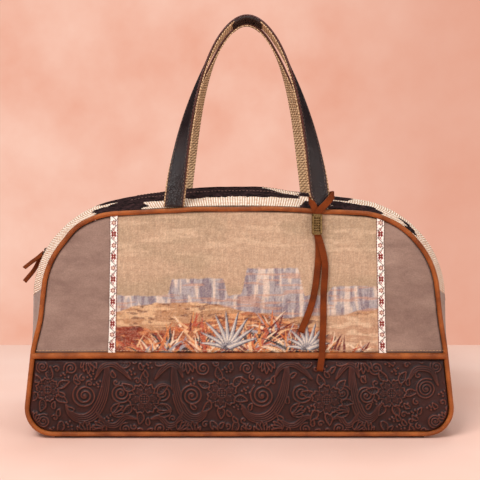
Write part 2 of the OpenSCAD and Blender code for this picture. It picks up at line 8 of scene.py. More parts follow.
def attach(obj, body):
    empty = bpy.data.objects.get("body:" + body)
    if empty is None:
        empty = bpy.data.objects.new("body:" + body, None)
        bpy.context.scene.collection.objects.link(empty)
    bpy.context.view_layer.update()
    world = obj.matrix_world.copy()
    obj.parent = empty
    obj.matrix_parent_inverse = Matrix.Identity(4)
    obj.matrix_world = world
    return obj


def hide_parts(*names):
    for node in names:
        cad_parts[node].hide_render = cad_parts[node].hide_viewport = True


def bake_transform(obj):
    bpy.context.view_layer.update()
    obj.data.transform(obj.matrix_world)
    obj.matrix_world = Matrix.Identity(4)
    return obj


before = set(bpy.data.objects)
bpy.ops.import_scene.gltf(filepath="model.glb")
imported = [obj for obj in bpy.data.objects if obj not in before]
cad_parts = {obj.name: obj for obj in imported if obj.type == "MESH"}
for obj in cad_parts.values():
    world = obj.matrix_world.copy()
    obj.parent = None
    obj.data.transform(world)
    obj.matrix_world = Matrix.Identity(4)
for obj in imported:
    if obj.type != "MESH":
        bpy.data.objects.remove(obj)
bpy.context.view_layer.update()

# All shapes are worked out in millimetres, and their meshes are in metres
MM = 0.001


# ---- small tools
def new_object(name, data):
    thing = bpy.data.objects.new(name, data)
    bpy.context.scene.collection.objects.link(thing)
    return thing


def colour_of(code):
    """Linear colour of an sRGB hex code."""
    parts = [int(code[i:i + 2], 16) / 255 for i in (1, 3, 5)]
    return tuple(c / 12.92 if c < 0.04045 else ((c + 0.055) / 1.055) ** 2.4 for c in parts) + (1.0,)


def ramp(t):
    u = np.clip(t, 0, 1)
    return u * u * (3 - 2 * u)


def mix(a, b, share):
    return a + (b - a) * share


def lattice(i, j, seed):
    n = np.sin(i * 127.1 + j * 311.7 + seed * 74.7) * 43758.5453
    return n - np.floor(n)


def grain(x, y, seed=0):
    """Smooth noise from 0 to 1, a cell wide, the same on each run."""
    i, j = np.floor(x), np.floor(y)
    u, v = ramp(x - i), ramp(y - j)
    low = mix(lattice(i, j, seed), lattice(i + 1, j, seed), u)
    high = mix(lattice(i, j + 1, seed), lattice(i + 1, j + 1, seed), u)
    return mix(low, high, v)


def layered(x, y, seed=0, layers=3):
    total = sum(grain(x * 2 ** k, y * 2 ** k, seed + k) / 2 ** k for k in range(layers))
    return total / sum(1 / 2 ** k for k in range(layers))


def patches(x, y, seed, above, soft):
    """Soft-edged patches, where the layered noise is above a level."""
    return ramp((layered(x, y, seed) - above) / soft)


def seat(piece, body, stands_for):
    """Tell the frame which nodes a piece replaces and which body it rides."""
    if stands_for:
        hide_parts(*stands_for)
    if body:
        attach(piece, body)
    return piece


def finish_piece(bm, name, material, body=None, stands_for=(), smooth=True):
    mesh = bpy.data.meshes.new(name)
    bm.to_mesh(mesh)
    bm.free()
    if smooth:
        mesh.shade_smooth()
    mesh.materials.append(material)
    return seat(new_object(name, mesh), body, stands_for)


def reaches(points):
    """Length along a line from its start to each of its points."""
    return np.concatenate([[0], np.cumsum(np.linalg.norm(np.diff(points, axis=0), axis=1))])


def read_off(at, steps, values):
    """Rows of values between the given steps."""
    return np.stack([np.interp(at, steps, column) for column in values.T], 1)


def closed_grid(places, along, across):
    """Grid whose corners go to the places, rows by columns, closed at its ends. Its UV map holds how far
    each corner is along and across, in metres."""
    rows, columns = places.shape[:2]
    bm = bmesh.new()
    uv = bm.loops.layers.uv.new("spans")
    bmesh.ops.create_grid(bm, x_segments=rows - 1, y_segments=columns - 1, size=1)
    spot = {}
    for v in bm.verts:
        i, j = round((v.co.x + 1) / 2 * (rows - 1)), round((v.co.y + 1) / 2 * (columns - 1))
        spot[v.index] = (i, j)
        v.co = Vector(places[i, j]) * MM
    for f in bm.faces:
        for loop in f.loops:
            i, j = spot[loop.vert.index]
            loop[uv].uv = (along[i] * MM, across[j] * MM)
    bmesh.ops.remove_doubles(bm, verts=bm.verts, dist=1e-7)
    rims = [e for e in bm.edges if e.is_boundary]
    if rims:
        bmesh.ops.holes_fill(bm, edges=rims, sides=0)
    bmesh.ops.recalc_face_normals(bm, faces=bm.faces)
    return bm


def strand_through(stops, across, faces, section, taper=None):
    """Closed strip swept along stops. The section is a ring of [across, out] points."""
    ring = np.vstack([section, section[:1]])
    stops, across, faces = np.array(stops), np.array(across), np.array(faces)
    scale = np.ones(len(stops)) if taper is None else np.array(taper)
    wide = ring[None, :, :1] * scale[:, None, None]
    places = stops[:, None] + across[:, None] * wide + faces[:, None] * ring[None, :, 1:]
    return closed_grid(places, reaches(stops), reaches(ring))


def flat_section(width, low, high, r, top, grooves=None):
    """Ring of a flat strap with edges rounded by r, from one edge over its top and back under."""
    flat, mid, tall = width / 2 - r, (low + high) / 2, (high - low) / 2
    crown = [[x, high - (grooves(x) if grooves else 0)] for x in np.linspace(-flat, flat, top)]
    turn = np.radians(np.linspace(60, -60, 4))
    right = [[flat + r * math.cos(a), mid + tall * math.sin(a)] for a in turn]
    under = [[x, low] for x in np.linspace(flat, -flat, 5)]
    left = [[-flat - r * math.cos(a), mid + tall * math.sin(a)] for a in -turn]
    return np.array(crown + right + under + left)


def unit(v):
    v = np.array(v, dtype=float)
    return v / np.linalg.norm(v, axis=-1, keepdims=True)


def smooth_path(points, steps):
    """Points on a smooth line through the given ones."""
    p = np.array(points, dtype=float)
    ends = np.vstack([2 * p[0] - p[1], p, 2 * p[-1] - p[-2]])
    out = []
    for i in range(len(p) - 1):
        a, b, c, d = ends[i:i + 4]
        for t in np.linspace(0, 1, steps, endpoint=False):
            out.append(0.5 * (2 * b + (c - a) * t + (2 * a - 5 * b + 4 * c - d) * t * t
                              + (3 * b - 3 * c + d - a) * t ** 3))
    return np.array(out + [p[-1]])


# ---- camera, fitted to the photograph: it looks 6.84 degrees down
camera = new_object("camera", bpy.data.cameras.new("camera"))
camera.location = (0.0009, -1.221, 0.3772)
camera.rotation_euler = (math.radians(90 - 6.84), 0, 0)
camera.data.lens = 70.875
camera.data.sensor_width = 36
bpy.context.scene.camera = camera

# ---- the bag's measures
PANEL_LEAN = math.radians(2.2)
BASE_DEPTH = 212
# The piping round the front, and how far inside its middle the cloth ends
EDGE_R = 2.9
EDGE_GAP = 2.8
# The leather band's height, and the radius of the piping on its upper edge
BAND_H = 101
BAND_R = 3.8
# The tapestry's middle, the ribbons beside it and how they lean towards each other
CENTRE_X = 9.5
RIBBON_X = 164
RIBBON_SLANT = 5 / 179
RIBBON_W = 9.5
# Right half of an outline: middle and radius of its corner, lean of its side, middle and radius of its
# shoulder, middle and radius of its crown, and how far the crown turns
SEAM = ((226, 36.6), 32, 7, (138.771, 172.637), 102, (0, -1620), 1900, 4.42654)
RIDGE = ((228.4, 36.6), 35.1, 0.6, (140.2014, 160.15), 122, (0, -452), 750, 12.90003)


def stations(outline, corner=18, side=40, shoulder=72, crown=52):
    """Middles, radii and outward angles round the right half of an outline, and where its upper run
    starts."""
    low, low_r, lean, mid, mid_r, top, top_r, turn = outline
    n = np.array([math.cos(math.radians(lean)), math.sin(math.radians(lean))])
    a, b = np.array(low) + low_r * n, np.array(mid) + mid_r * n

    def arc(middle, radius, angles):
        return np.repeat([middle], len(angles), 0), np.full(len(angles), radius), angles

    parts = [arc(low, low_r, np.linspace(-90, lean, corner + 1)),
             (a + (b - a) * np.linspace(0, 1, side + 1)[1:-1, None], np.zeros(side - 1),
              np.full(side - 1, lean)),
             arc(mid, mid_r, np.linspace(lean, 90 - turn, shoulder + 1)),
             arc(top, top_r, np.linspace(90 - turn, 90, crown + 1)[1:])]
    return [np.concatenate([p[k] for p in parts]).astype(float) for k in range(3)], corner + side


def placed(st, off):
    middle, radius, angle = st
    a = np.radians(angle)
    return middle + (radius + off)[:, None] * np.stack([np.cos(a), np.sin(a)], 1)


def seam_line(off, **counts):
    """Closed line round the seam's outline, with its outward normals."""
    st, _ = stations(SEAM, **counts)
    a = np.radians(st[2])
    halves = placed(st, off), np.stack([np.cos(a), np.sin(a)], 1)
    return [np.vstack([right, (right * (-1, 1))[-2::-1]]) for right in halves]


def edge_distance(x, s):
    """How far inside the cloth's edge a point of the front is."""
    x = np.abs(x)
    (cx, cs), rc, lean, (hx, hs), rh, (_, ks), rk, _ = SEAM
    n = math.cos(math.radians(lean)), math.sin(math.radians(lean))
    side = rc - ((x - cx) * n[0] + (s - cs) * n[1])
    low = s - cs + rc
    corner = np.where((x > cx) & (s < cs), rc - np.hypot(x - cx, s - cs), 1e3)
    shoulder = np.where((x > hx) & (s > hs), rh - np.hypot(x - hx, s - hs), 1e3)
    crown = rk - np.hypot(x, s - ks)
    return np.minimum.reduce([side, low, corner, shoulder, crown]) - EDGE_GAP


def seam_distance(x, s, lines):
    """How far a point of a panel is from the edge and from the lines it is also sewn along."""
    d = edge_distance(x, s)
    for at, normal in lines:
        off = (x - at[0]) * normal[0] + (s - at[1]) * normal[1]
        d = np.minimum(d, -off / math.hypot(*normal))
    return np.maximum(d, 0)


DRAWN_LEFT, DRAWN_RIGHT = 4.8, 2.0


def drawn_in(places):
    """The front and back are drawn in a little at their shoulders, where the gusset bulges past them."""
    x, y, z = np.moveaxis(places, -1, 0)
    by = np.where(x < 0, DRAWN_LEFT, DRAWN_RIGHT) * ramp((z - 104) / 48) * ramp((262 - z) / 24)
    reach = ramp((np.abs(x) - 130) / 90) * ramp((np.abs(y) - 60) / 24)
    return np.concatenate([(x - np.sign(x) * by * reach)[..., None], places[..., 1:]], -1)


def face_point(x, s, out, side=-1):
    """Point of the front, or of the back with side 1, from its place across, up and out."""
    x, s, out = np.broadcast_arrays(*(np.asarray(v, float) for v in (x, s, out)))
    y = -BASE_DEPTH / 2 + s * math.sin(PANEL_LEAN) - out * math.cos(PANEL_LEAN)
    z = s * math.cos(PANEL_LEAN) + out * math.sin(PANEL_LEAN)
    return drawn_in(np.stack([x, -side * y, z], -1))


SWELL, FOLD = 3.6, 1.5


def puff(x, s):
    """How far the cloth and suede swell out between their seams, with a few soft folds."""
    d, up = edge_distance(x, s), s - BAND_H - 4
    folds = layered(x / 62, s / 48, 5, 2) - 0.5
    return SWELL * ramp(d / 80) * ramp(up / 58) + FOLD * folds * ramp(d / 30) * ramp(up / 24)


def ribbon_x(side, s):
    return CENTRE_X + side * (RIBBON_X - RIBBON_SLANT * (s - BAND_H))


# ---- materials
def add(tree, kind, inputs=None, **settings):
    node = tree.nodes.new("ShaderNode" + kind)
    for key, value in settings.items():
        setattr(node, key, value)
    for key, value in (inputs or {}).items():
        socket = node.inputs[key]
        if isinstance(value, bpy.types.NodeSocket):
            tree.links.new(value, socket)
        else:
            socket.default_value = value
    return node


def start_material(name, **surface):
    material = bpy.data.materials.new(name)
    material.use_nodes = True
    tree = material.node_tree
    tree.nodes.clear()
    inputs = {k.replace("_", " "): v for k, v in surface.items()}
    shader = add(tree, "BsdfPrincipled", inputs, name="surface")
    add(tree, "OutputMaterial", {"Surface": shader.outputs[0]})
    return material, tree


def places_of(tree, stretch=(1, 1, 1), source="Object"):
    coords = add(tree, "TexCoord")
    return add(tree, "Mapping", {"Vector": coords.outputs[source], "Scale": stretch}).outputs[0]


def speckle(tree, vector, scale, detail=3.0, rough=0.6):
    return add(tree, "TexNoise", {"Vector": vector, "Scale": scale, "Detail": detail,
                                  "Roughness": rough}).outputs[0]


def spread(tree, value, low, high, to_low=0.0, to_high=1.0):
    return add(tree, "MapRange", {"Value": value, "From Min": low, "From Max": high,
                                  "To Min": to_low, "To Max": to_high}).outputs[0]


def blend_colours(tree, share, a, b, kind="MIX"):
    a, b = (colour_of(c) if isinstance(c, str) else c for c in (a, b))
    return add(tree, "Mix", {0: share, 6: a, 7: b}, data_type="RGBA", blend_type=kind).outputs[2]


def shaded(tree, colour, value):
    """The colour times a value."""
    grey = add(tree, "CombineColor", {0: value, 1: value, 2: value}).outputs[0]
    return blend_colours(tree, 1.0, colour, grey, "MULTIPLY")


def dressed(material, colour, height, distance, strength, rough=None):
    """The material, with its colour, its relief and perhaps where it is rougher."""
    tree = material.node_tree
    bump = add(tree, "Bump", {"Height": height, "Distance": distance, "Strength": strength})
    for socket, value in (("Base Color", colour), ("Normal", bump.outputs[0]), ("Roughness", rough)):
        if value is not None:
            tree.links.new(value, tree.nodes["surface"].inputs[socket])
    return material


def math_node(tree, kind, *values):
    return add(tree, "Math", dict(enumerate(values)), operation=kind).outputs[0]


TOP_HALF = 0.0097


def painted_seam_shade(tree, colour):
    """Colour of a panel with painted shade: darker in the line where it is drawn into its seam, as a
    shadow line.
    """
    seam = add(tree, "Attribute", attribute_name="seam").outputs["Fac"]
    # 1C0E0A is the colour of the painted shadow in the seam
    return blend_colours(tree, spread(tree, seam, 0.15, 0.95, 0, 0.88), colour, "#1C0E0A")


def suede_material(name, dark, light, sheen=0.25):
    """Split leather brushed to a nap: matt, soft at grazing light, with brushed lighter and darker
    places."""
    m, t = start_material(name, Roughness=0.92, Specular_IOR_Level=0.2, Sheen_Weight=sheen,
                          Sheen_Roughness=0.45)
    cloud = speckle(t, places_of(t, (0.8, 1, 1.9)), 26, 5, 0.66)
    nap = speckle(t, places_of(t, (1, 1, 1.6)), 560, 4, 0.75)
    tone = blend_colours(t, spread(t, cloud, 0.24, 0.76), dark, light)
    bruise = spread(t, speckle(t, places_of(t), 8, 5, 0.62), 0.5, 0.7, 0, 0.3)
    tone = shaded(t, blend_colours(t, bruise, tone, dark), spread(t, nap, 0.3, 0.7, 0.8, 1.16))
    return dressed(m, painted_seam_shade(t, tone), nap, 0.0005, 0.6)


def leather_material(name, dark, light, wear, rough=0.5, pore=700, depth=0.00025, shine=0.3,
                     edge=None):
    """Drum-dyed leather with fine pores, cloudy colour and rubbed lighter places. The edge colour is
    where a strap's cut sides are burnished."""
    m, t = start_material(name, Roughness=rough, Specular_IOR_Level=shine)
    p = places_of(t)
    cloud = speckle(t, p, 45, 4)
    tone = blend_colours(t, spread(t, cloud, 0.32, 0.68), dark, light)
    rubbed = spread(t, speckle(t, p, 160, 5, 0.75), 0.58, 0.75, 0, 0.55)
    tone = blend_colours(t, rubbed, tone, wear)
    if edge:
        # Round the section, the strap's top runs from 0 to twice TOP_HALF
        around = add(t, "SeparateXYZ", {0: places_of(t, source="UV")}).outputs[1]
        off_middle = math_node(t, "ABSOLUTE", math_node(t, "SUBTRACT", around, TOP_HALF))
        tone = blend_colours(t, spread(t, off_middle, TOP_HALF, TOP_HALF + 0.0009), tone, edge)
    cells = add(t, "TexVoronoi", {"Vector": p, "Scale": pore}, feature="DISTANCE_TO_EDGE").outputs[0]
    grainy = math_node(t, "ADD", spread(t, cells, 0, 0.25), speckle(t, p, pore * 0.35, 3))
    rougher = spread(t, cloud, 0.3, 0.7, rough - 0.06, rough + 0.08)
    return dressed(m, tone, grainy, depth, 0.7, rougher)


def tooled_material():
    """Stamped leather in a dark stain, with painted light: the raised lines are drawn lighter as a
    highlight and the grooves darker as shade.
    """
    m, t = start_material("tooled_brown_leather", Roughness=0.36, Specular_IOR_Level=0.34)
    p = places_of(t)
    relief_light_and_shade = add(t, "Attribute", attribute_name="relief_light_and_shade").outputs["Fac"]
    cloud = speckle(t, p, 24, 5, 0.65)
    ground = blend_colours(t, spread(t, cloud, 0.3, 0.7), "#280B06", "#3B140D")
    # Painted highlight colours for the raised lines
    crest_highlight = blend_colours(t, spread(t, cloud, 0.3, 0.7), "#522519", "#6E3727")
    tone = blend_colours(t, spread(t, relief_light_and_shade, 0.04, 0.4), ground, crest_highlight)
    # Painted shade: the grooves are drawn near black
    tone = blend_colours(t, spread(t, relief_light_and_shade, -0.03, -0.26, 0, 0.92), tone, "#0B0302")
    pores = add(t, "TexVoronoi", {"Vector": p, "Scale": 850}, feature="DISTANCE_TO_EDGE").outputs[0]
    grainy = math_node(t, "ADD", spread(t, pores, 0, 0.3), speckle(t, p, 320, 3))
    return dressed(m, painted_seam_shade(t, tone), grainy, 0.0002, 0.6, spread(t, relief_light_and_shade, -0.2, 0.3, 0.55, 0.3))


def threads(tree, vector, axis, period):
    """Rows of round threads across one axis, a period apart in metres."""
    return add(tree, "TexWave", {"Vector": vector, "Scale": 0.314159 / period, "Distortion": 0.6,
                                 "Detail": 1.0, "Detail Scale": 1.5},
               wave_type="BANDS", bands_direction=axis).outputs["Fac"]


def tapestry_material():
    """Jacquard cloth: weft picks cross fine warps, so the picture breaks into short level flecks."""
    m, t = start_material("woven_tapestry", Roughness=0.92, Specular_IOR_Level=0.2)
    p = places_of(t)
    picture = add(t, "Attribute", attribute_name="picture").outputs["Color"]
    picks = threads(t, p, "Z", 0.0011)
    warps = threads(t, p, "X", 0.0008)
    weave = math_node(t, "MULTIPLY", spread(t, picks, 0, 1, 0.55, 1), spread(t, warps, 0, 1, 0.7, 1))
    fleck = speckle(t, p, 620, 2, 0.7)
    warp_streak = speckle(t, places_of(t, (1, 1, 0.12)), 520, 3, 0.7)
    weft_streak = speckle(t, places_of(t, (0.16, 1, 1)), 460, 3, 0.7)
    slub = spread(t, speckle(t, places_of(t, (1, 1, 1.6)), 210, 3, 0.6), 0.6, 0.74, 1, 0.8)
    shade = spread(t, weave, 0.35, 1, 0.88, 1.05)
    for part in (spread(t, fleck, 0.3, 0.7, 0.9, 1.08), spread(t, warp_streak, 0.32, 0.68, 0.87, 1.1),
                 spread(t, weft_streak, 0.32, 0.68, 0.92, 1.06), slub):
        shade = math_node(t, "MULTIPLY", shade, part)
    relief = math_node(t, "ADD", weave, fleck)
    return dressed(m, painted_seam_shade(t, shaded(t, picture, shade)), relief, 0.00035, 0.7)


def ribbon_material():
    """Woven braid: cream satin ground with flowers in coloured thread."""
    m, t = start_material("flowered_braid", Roughness=0.75, Specular_IOR_Level=0.25)
    p = places_of(t)
    picture = add(t, "Attribute", attribute_name="picture").outputs["Color"]
    picks = threads(t, p, "Z", 0.0007)
    tone = shaded(t, picture, spread(t, picks, 0, 1, 0.86, 1.04))
    return dressed(m, tone, picks, 0.0002, 0.6)


def gusset_material():
    """Two cloths: a cream one with thick ribs and tan flecks, and a dark chenille with a deep pile."""
    m, t = start_material("ribbed_cream_and_dark_chenille", Roughness=0.95, Specular_IOR_Level=0.08)
    p = places_of(t)
    spans = places_of(t, source="UV")
    patch = add(t, "Attribute", attribute_name="patch").outputs["Fac"]
    ragged = math_node(t, "ADD", spread(t, speckle(t, p, 420, 2), 0.25, 0.75, -0.8, 0.8),
                       spread(t, speckle(t, p, 150, 3), 0.3, 0.7, -2.4, 2.4))
    mask = spread(t, math_node(t, "ADD", patch, ragged), -0.25, 0.25)
    ribs = threads(t, spans, "X", 0.0031)
    rows = threads(t, spans, "Y", 0.0042)
    ribbed = math_node(t, "MULTIPLY", ribs, spread(t, rows, 0, 0.4, 0.3, 1))
    flecks = spread(t, speckle(t, places_of(t, (1, 0.5, 1)), 300, 3, 0.7), 0.52, 0.66)
    cream = blend_colours(t, spread(t, ribbed, 0, 0.6), "#B98C6C", "#FFF1E0")
    cream = blend_colours(t, math_node(t, "MULTIPLY", flecks, 0.6), cream, "#C08560")
    pile = speckle(t, p, 240, 4, 0.8)
    blotched = math_node(t, "ADD", pile, spread(t, speckle(t, p, 130, 3), 0.3, 0.7, -0.15, 0.15))
    dark = blend_colours(t, spread(t, blotched, 0.35, 0.72), "#060302", "#40292A")
    height = add(t, "Mix", {0: mask, 2: ribbed, 3: pile}).outputs[0]
    return dressed(m, painted_seam_shade(t, blend_colours(t, mask, cream, dark)), height, 0.0011, 0.9)


def webbing_material():
    """Tan cotton webbing in a twill: ribs across the strap with diagonal steps."""
    m, t = start_material("tan_twill_webbing", Roughness=0.9, Specular_IOR_Level=0.15)
    spans = places_of(t, source="UV")
    slant = add(t, "VectorRotate", {"Vector": spans, "Angle": math.radians(45)},
                rotation_type="Z_AXIS").outputs[0]
    ribs = threads(t, spans, "X", 0.0034)
    twill = threads(t, slant, "X", 0.0038)
    weave = math_node(t, "MULTIPLY", spread(t, ribs, 0, 1, 0.5, 1), spread(t, twill, 0, 1, 0.5, 1))
    fleck = spread(t, speckle(t, places_of(t), 700, 2), 0.3, 0.7, -0.25, 0.25)
    light = spread(t, math_node(t, "ADD", weave, fleck), 0.2, 1)
    return dressed(m, blend_colours(t, light, "#6E4D34", "#EFCA9F"), weave, 0.0009, 0.9)


def metal_material(name, low, high, rough):
    """Plated metal with a worn patina: darker in cloudy places, brighter where it is handled."""
    m, t = start_material(name, Metallic=1.0, Roughness=rough)
    p = places_of(t)
    cloud = speckle(t, p, 380, 4, 0.7)
    tone = blend_colours(t, spread(t, cloud, 0.35, 0.65), low, high)
    rougher = spread(t, cloud, 0.3, 0.7, rough + 0.15, rough - 0.05)
    return dressed(m, tone, cloud, 0.0001, 0.4, rougher)


def cloth_material(name, dark, light, period, rough=0.9):
    """Plain woven cloth or thread with a fine even weave."""
    m, t = start_material(name, Roughness=rough, Sheen_Weight=0.1)
    p = places_of(t)
    weave = math_node(t, "MULTIPLY", threads(t, p, "X", period), threads(t, p, "Z", period))
    uneven = math_node(t, "ADD", weave, spread(t, speckle(t, p, 500), 0.3, 0.7, -0.2, 0.4))
    return dressed(m, blend_colours(t, uneven, dark, light), weave, period * 0.3, 0.6)


SUEDE = suede_material("taupe_suede", "#7A6157", "#A2887A")
LACE_SUEDE = suede_material("tan_suede_lace", "#53220A", "#7F390F", 0.0)
PIPING = leather_material("tan_piping_leather", "#743611", "#A65A25", "#C88046", 0.45, 600, 0.0003, 0.25)
TAB_LEATHER = leather_material("tan_tab_leather", "#7A3E20", "#A55C30", "#C58555", 0.5, 600)
STRAP_LEATHER = leather_material("dark_strap_leather", "#150A09", "#231311", "#33211E", 0.36, 700,
                                 0.00022, 0.45, "#4A1D11")
GRIP_LEATHER = leather_material("brown_grip_leather", "#1D0E09", "#341C12", "#452818", 0.5, 700, 0.0002)
BASE_LEATHER = leather_material("brown_base_leather", "#2A1512", "#3E1F1B", "#55342C", 0.5, 650, 0.0003)
TOOLED = tooled_material()
TAPESTRY = tapestry_material()
BRAID = ribbon_material()
GUSSET_CLOTH = gusset_material()
WEBBING = webbing_material()
BRASS = metal_material("antique_brass", "#4A3A22", "#94794C", 0.38)
WORN_BRASS = metal_material("worn_brass_rim", "#9A8452", "#D6C08A", 0.32)
GUNMETAL = metal_material("dark_nickel", "#2A2724", "#6B665F", 0.34)
TAPE_CLOTH = cloth_material("black_zip_tape", "#0E0A0A", "#241C1B", 0.0009)
TEETH_METAL = metal_material("black_zip_teeth", "#14100F", "#3A3230", 0.36)
BOARD = cloth_material("grey_board", "#5B5650", "#77716A", 0.002)
TAN_THREAD = cloth_material("tan_thread", "#A27A58", "#D8B48E", 0.0006, 0.7)
BROWN_THREAD = cloth_material("brown_thread", "#4C3529", "#86695A", 0.0006, 0.7)
FACING_THREAD = cloth_material("facing_thread", "#6E463A", "#9A7263", 0.0006, 0.7)
RED_THREAD = cloth_material("red_thread", "#6E1518", "#A13230", 0.0006, 0.7)


# ---- laces that hang free
LACE_SECTION = (-0.8, 0.8, 0.7, 8)


def lace_piece(name, stops, face, width, body, stands_for):
    """Flat lace cut from suede, along a smooth line through the stops of its route."""
    path = smooth_path(stops, 8)
    along = unit(np.gradient(path, axis=0))
    wide = unit(np.cross(along, np.broadcast_to(face, along.shape)))
    out = unit(np.cross(wide, along))
    bm = strand_through(path, wide, out, flat_section(width, *LACE_SECTION))
    piece = finish_piece(bm, name, LACE_SUEDE, body, [stands_for])


PULL_FACE = unit([-0.3, -1, 0.25])
UPPER_PULL = [(-253.9, -1.2, 215), (-262.6, -4.8, 207.6), (-269, -9.4, 203), (-276.6, -18.5, 196.8)]
LOWER_PULL = [(-255.4, 1.6, 213.2), (-261.7, -0.8, 202.4), (-268, -3.2, 191), (-279.6, -6, 177)]
lace_piece("upper_pull_lace", UPPER_PULL, PULL_FACE, 5.6, "zip_pull_left", "pull_lace_upper")
lace_piece("lower_pull_lace", LOWER_PULL, PULL_FACE, 6.2, "zip_pull_left", "pull_lace_lower")
TASSEL_W = 8
FACE_OUT = face_point(0, 0, 1) - face_point(0, 0, 0)
# Each tail's route: across, up, and out from the cloth, which also lifts it by its swell
LEFT_TAIL = [(93.1, 261.2, 4.5), (93.5, 249.7, 4.5), (94.4, 242, 3.8), (94.8, 228, 2.6),
             (93.6, 208, 1.6), (90.6, 183, 1.4), (85.2, 160, 1.4), (74, 131, 1.4)]
RIGHT_TAIL = [(93.3, 261.2, 6.2), (93.6, 249.7, 6.2), (96, 242, 5.8), (99.8, 228, 5.2), (102.4, 210, 4),
              (101, 178, 2.4), (101, 146, 2.2), (100.2, 122, 4), (99.6, 104, 5.8), (97.2, 84, 3.4)]
for hand, route in (("left", LEFT_TAIL), ("right", RIGHT_TAIL)):
    on_cloth = [face_point(x, s, out + puff(x, s) * ramp((246 - s) / 14)) for x, s, out in route]
    lace_piece(f"{hand}_tassel_tail", on_cloth, FACE_OUT, TASSEL_W, "bag", f"lace_tail_{hand}")


# ---- tooling of the leather band
# Raised lines are drawn a little wider than a stamp cuts them, so that they show from a step away
LINE = 0.95


def ridge_of(off, high=0.8, wide=LINE):
    return high * np.exp(-(off / wide) ** 2)


def vine(x, s, h, points, lines=(0, 2.6)):
    """Stem along a smooth line: a raised line in its middle, and more at its sides that close at its
    ends."""
    path = smooth_path(points, 7)
    box = ((x > path[:, 0].min() - 6) & (x < path[:, 0].max() + 6)
           & (s > path[:, 1].min() - 6) & (s < path[:, 1].max() + 6))
    px, ps = x[box], s[box]
    d, along = np.full(px.shape, 1e3), np.zeros(px.shape)
    for k, ((ax, ay), (bx, by)) in enumerate(zip(path[:-1], path[1:])):
        lx, ly = bx - ax, by - ay
        u = np.clip(((px - ax) * lx + (ps - ay) * ly) / (lx * lx + ly * ly + 1e-9), 0, 1)
        off = np.hypot(px - ax - u * lx, ps - ay - u * ly)
        along = np.where(off < d, (k + u) / (len(path) - 1), along)
        d = np.minimum(d, off)
    swell = np.sin(np.pi * np.clip(along, 0, 1)) ** 0.6
    clear = d < max(lines) * swell
    h[box] = np.where(clear, 0.1, h[box])
    for off in lines:
        h[box] = np.maximum(h[box], ridge_of(d - off * swell))


def polar(x, s, cx, cs, r):
    """Where a round motif lies, with each place's distance and angle from its middle."""
    box = np.hypot(x - cx, s - cs) < r
    return box, np.hypot(x[box] - cx, s[box] - cs), np.arctan2(s[box] - cs, x[box] - cx)


def blossom(x, s, h, cx, cs, r, turn):
    """Open flower of six ruffled petals with rolled edges, each with an inner fold and veins, round
    seeds."""
    box, d, a = polar(x, s, cx, cs, r * 1.12)
    a = a + turn
    lobe = np.abs(np.cos(3 * a))
    rim = r * (0.62 + 0.33 * lobe ** 0.5 + 0.05 * np.cos(18 * a))
    petal = 0.3 * np.sin(np.clip(d / rim, 0, 1) * 3.0)
    petal = np.maximum(petal, ridge_of(d - rim * 0.95, 1.15, 1.1))
    fold = rim * (0.66 + 0.07 * np.cos(12 * a))
    petal = np.maximum(petal, ridge_of(d - fold, 0.8, 0.85) * (lobe > 0.35))
    vein = np.abs(np.sin(9 * a)) * d / 9
    petal = np.maximum(petal, ridge_of(vein, 0.62, 0.5) * (d < rim * 0.62) * (d > r * 0.34))
    petal = np.where(d < rim * 0.9, petal - 0.55 * np.exp(-(lobe * d / 2.4) ** 2), petal)
    core = r * 0.29
    dots = np.hypot(*((v[box] - c + 1.5) % 3 - 1.5 for v, c in ((x, cx), (s, cs))))
    petal = np.where(d < core, ridge_of(dots, 1.0, 0.95), petal)
    petal = np.maximum(petal, ridge_of(d - core, 0.8, 0.7))
    h[box] = np.where(d < rim, petal, np.maximum(h[box], petal))


def scroll(x, s, h, cx, cs, r, turns, hand, start):
    """Spiral of one fine line, which winds in to a small bulb."""
    box, d, a = polar(x, s, cx, cs, r * 1.1)
    a = (hand * a - start) % (2 * np.pi)
    near = np.full(d.shape, 1e3)
    for k in range(int(turns) + 1):
        share = (a + 2 * np.pi * k) / (2 * np.pi * turns)
        near = np.where(share <= 1, np.minimum(near, np.abs(d - r * (1 - 0.88 * share))), near)
    inside = d < r
    bulb = 0.8 * np.sqrt(np.clip(1 - (d / (r * 0.18)) ** 2, 0, 1))
    h[box] = np.maximum(np.where(inside, 0, h[box]), np.maximum(ridge_of(near, 0.85), bulb))


def leaf(x, s, h, cx, cs, angle, long, wide, bend=0.35):
    """Pointed leaf: a raised edge, a sunken midrib and slanting veins."""
    a = math.radians(angle)
    p = ((x - cx) * math.cos(a) + (s - cs) * math.sin(a)) / long
    q = -(x - cx) * math.sin(a) + (s - cs) * math.cos(a)
    box = (p > -0.06) & (p < 1.06) & (np.abs(q) < wide * 1.5)
    p, q = p[box], q[box] - wide * bend * np.sin(np.clip(p[box], 0, 1) * 3.1)
    half = wide * np.sin(np.pi * np.clip(p, 0, 1) ** 0.75) + 1e-3
    inside = (np.abs(q) < half) & (p > 0) & (p < 1)
    veins = 0.25 + 0.3 * np.cos((p * long - np.abs(q) * 0.9) * 1.9)
    body = inside * (veins - 0.4 * np.exp(-(q / 0.7) ** 2))
    rim = ridge_of(np.abs(q) - half, 1.0) * ((p > 0) & (p < 1))
    h[box] = np.maximum(h[box] * (1 - inside), np.maximum(body, rim))


def fan(x, s, h, cx, cs, angle, long, lobes=5):
    """Acanthus fan: narrow lobes that spread from one point and curl outwards."""
    for k in range(lobes):
        k = k - (lobes - 1) / 2
        leaf(x, s, h, cx, cs, angle + 21 * k, long * (1 - 0.09 * abs(k)), long * 0.17, 1.1 * k / lobes)


def seeds(x, s, h, cx, cs, count, r=1.5):
    """Round seeds laid out like a sunflower's, each turned by 2.4 radians from the last."""
    for k in range(count):
        a, d = 2.4 * k, 2.4 * math.sqrt(k)
        off = np.hypot(x - cx - d * math.cos(a), s - cs - d * math.sin(a))
        h[off < r] = np.maximum(h[off < r], 0.95 * np.sqrt(1 - (off[off < r] / r) ** 2))


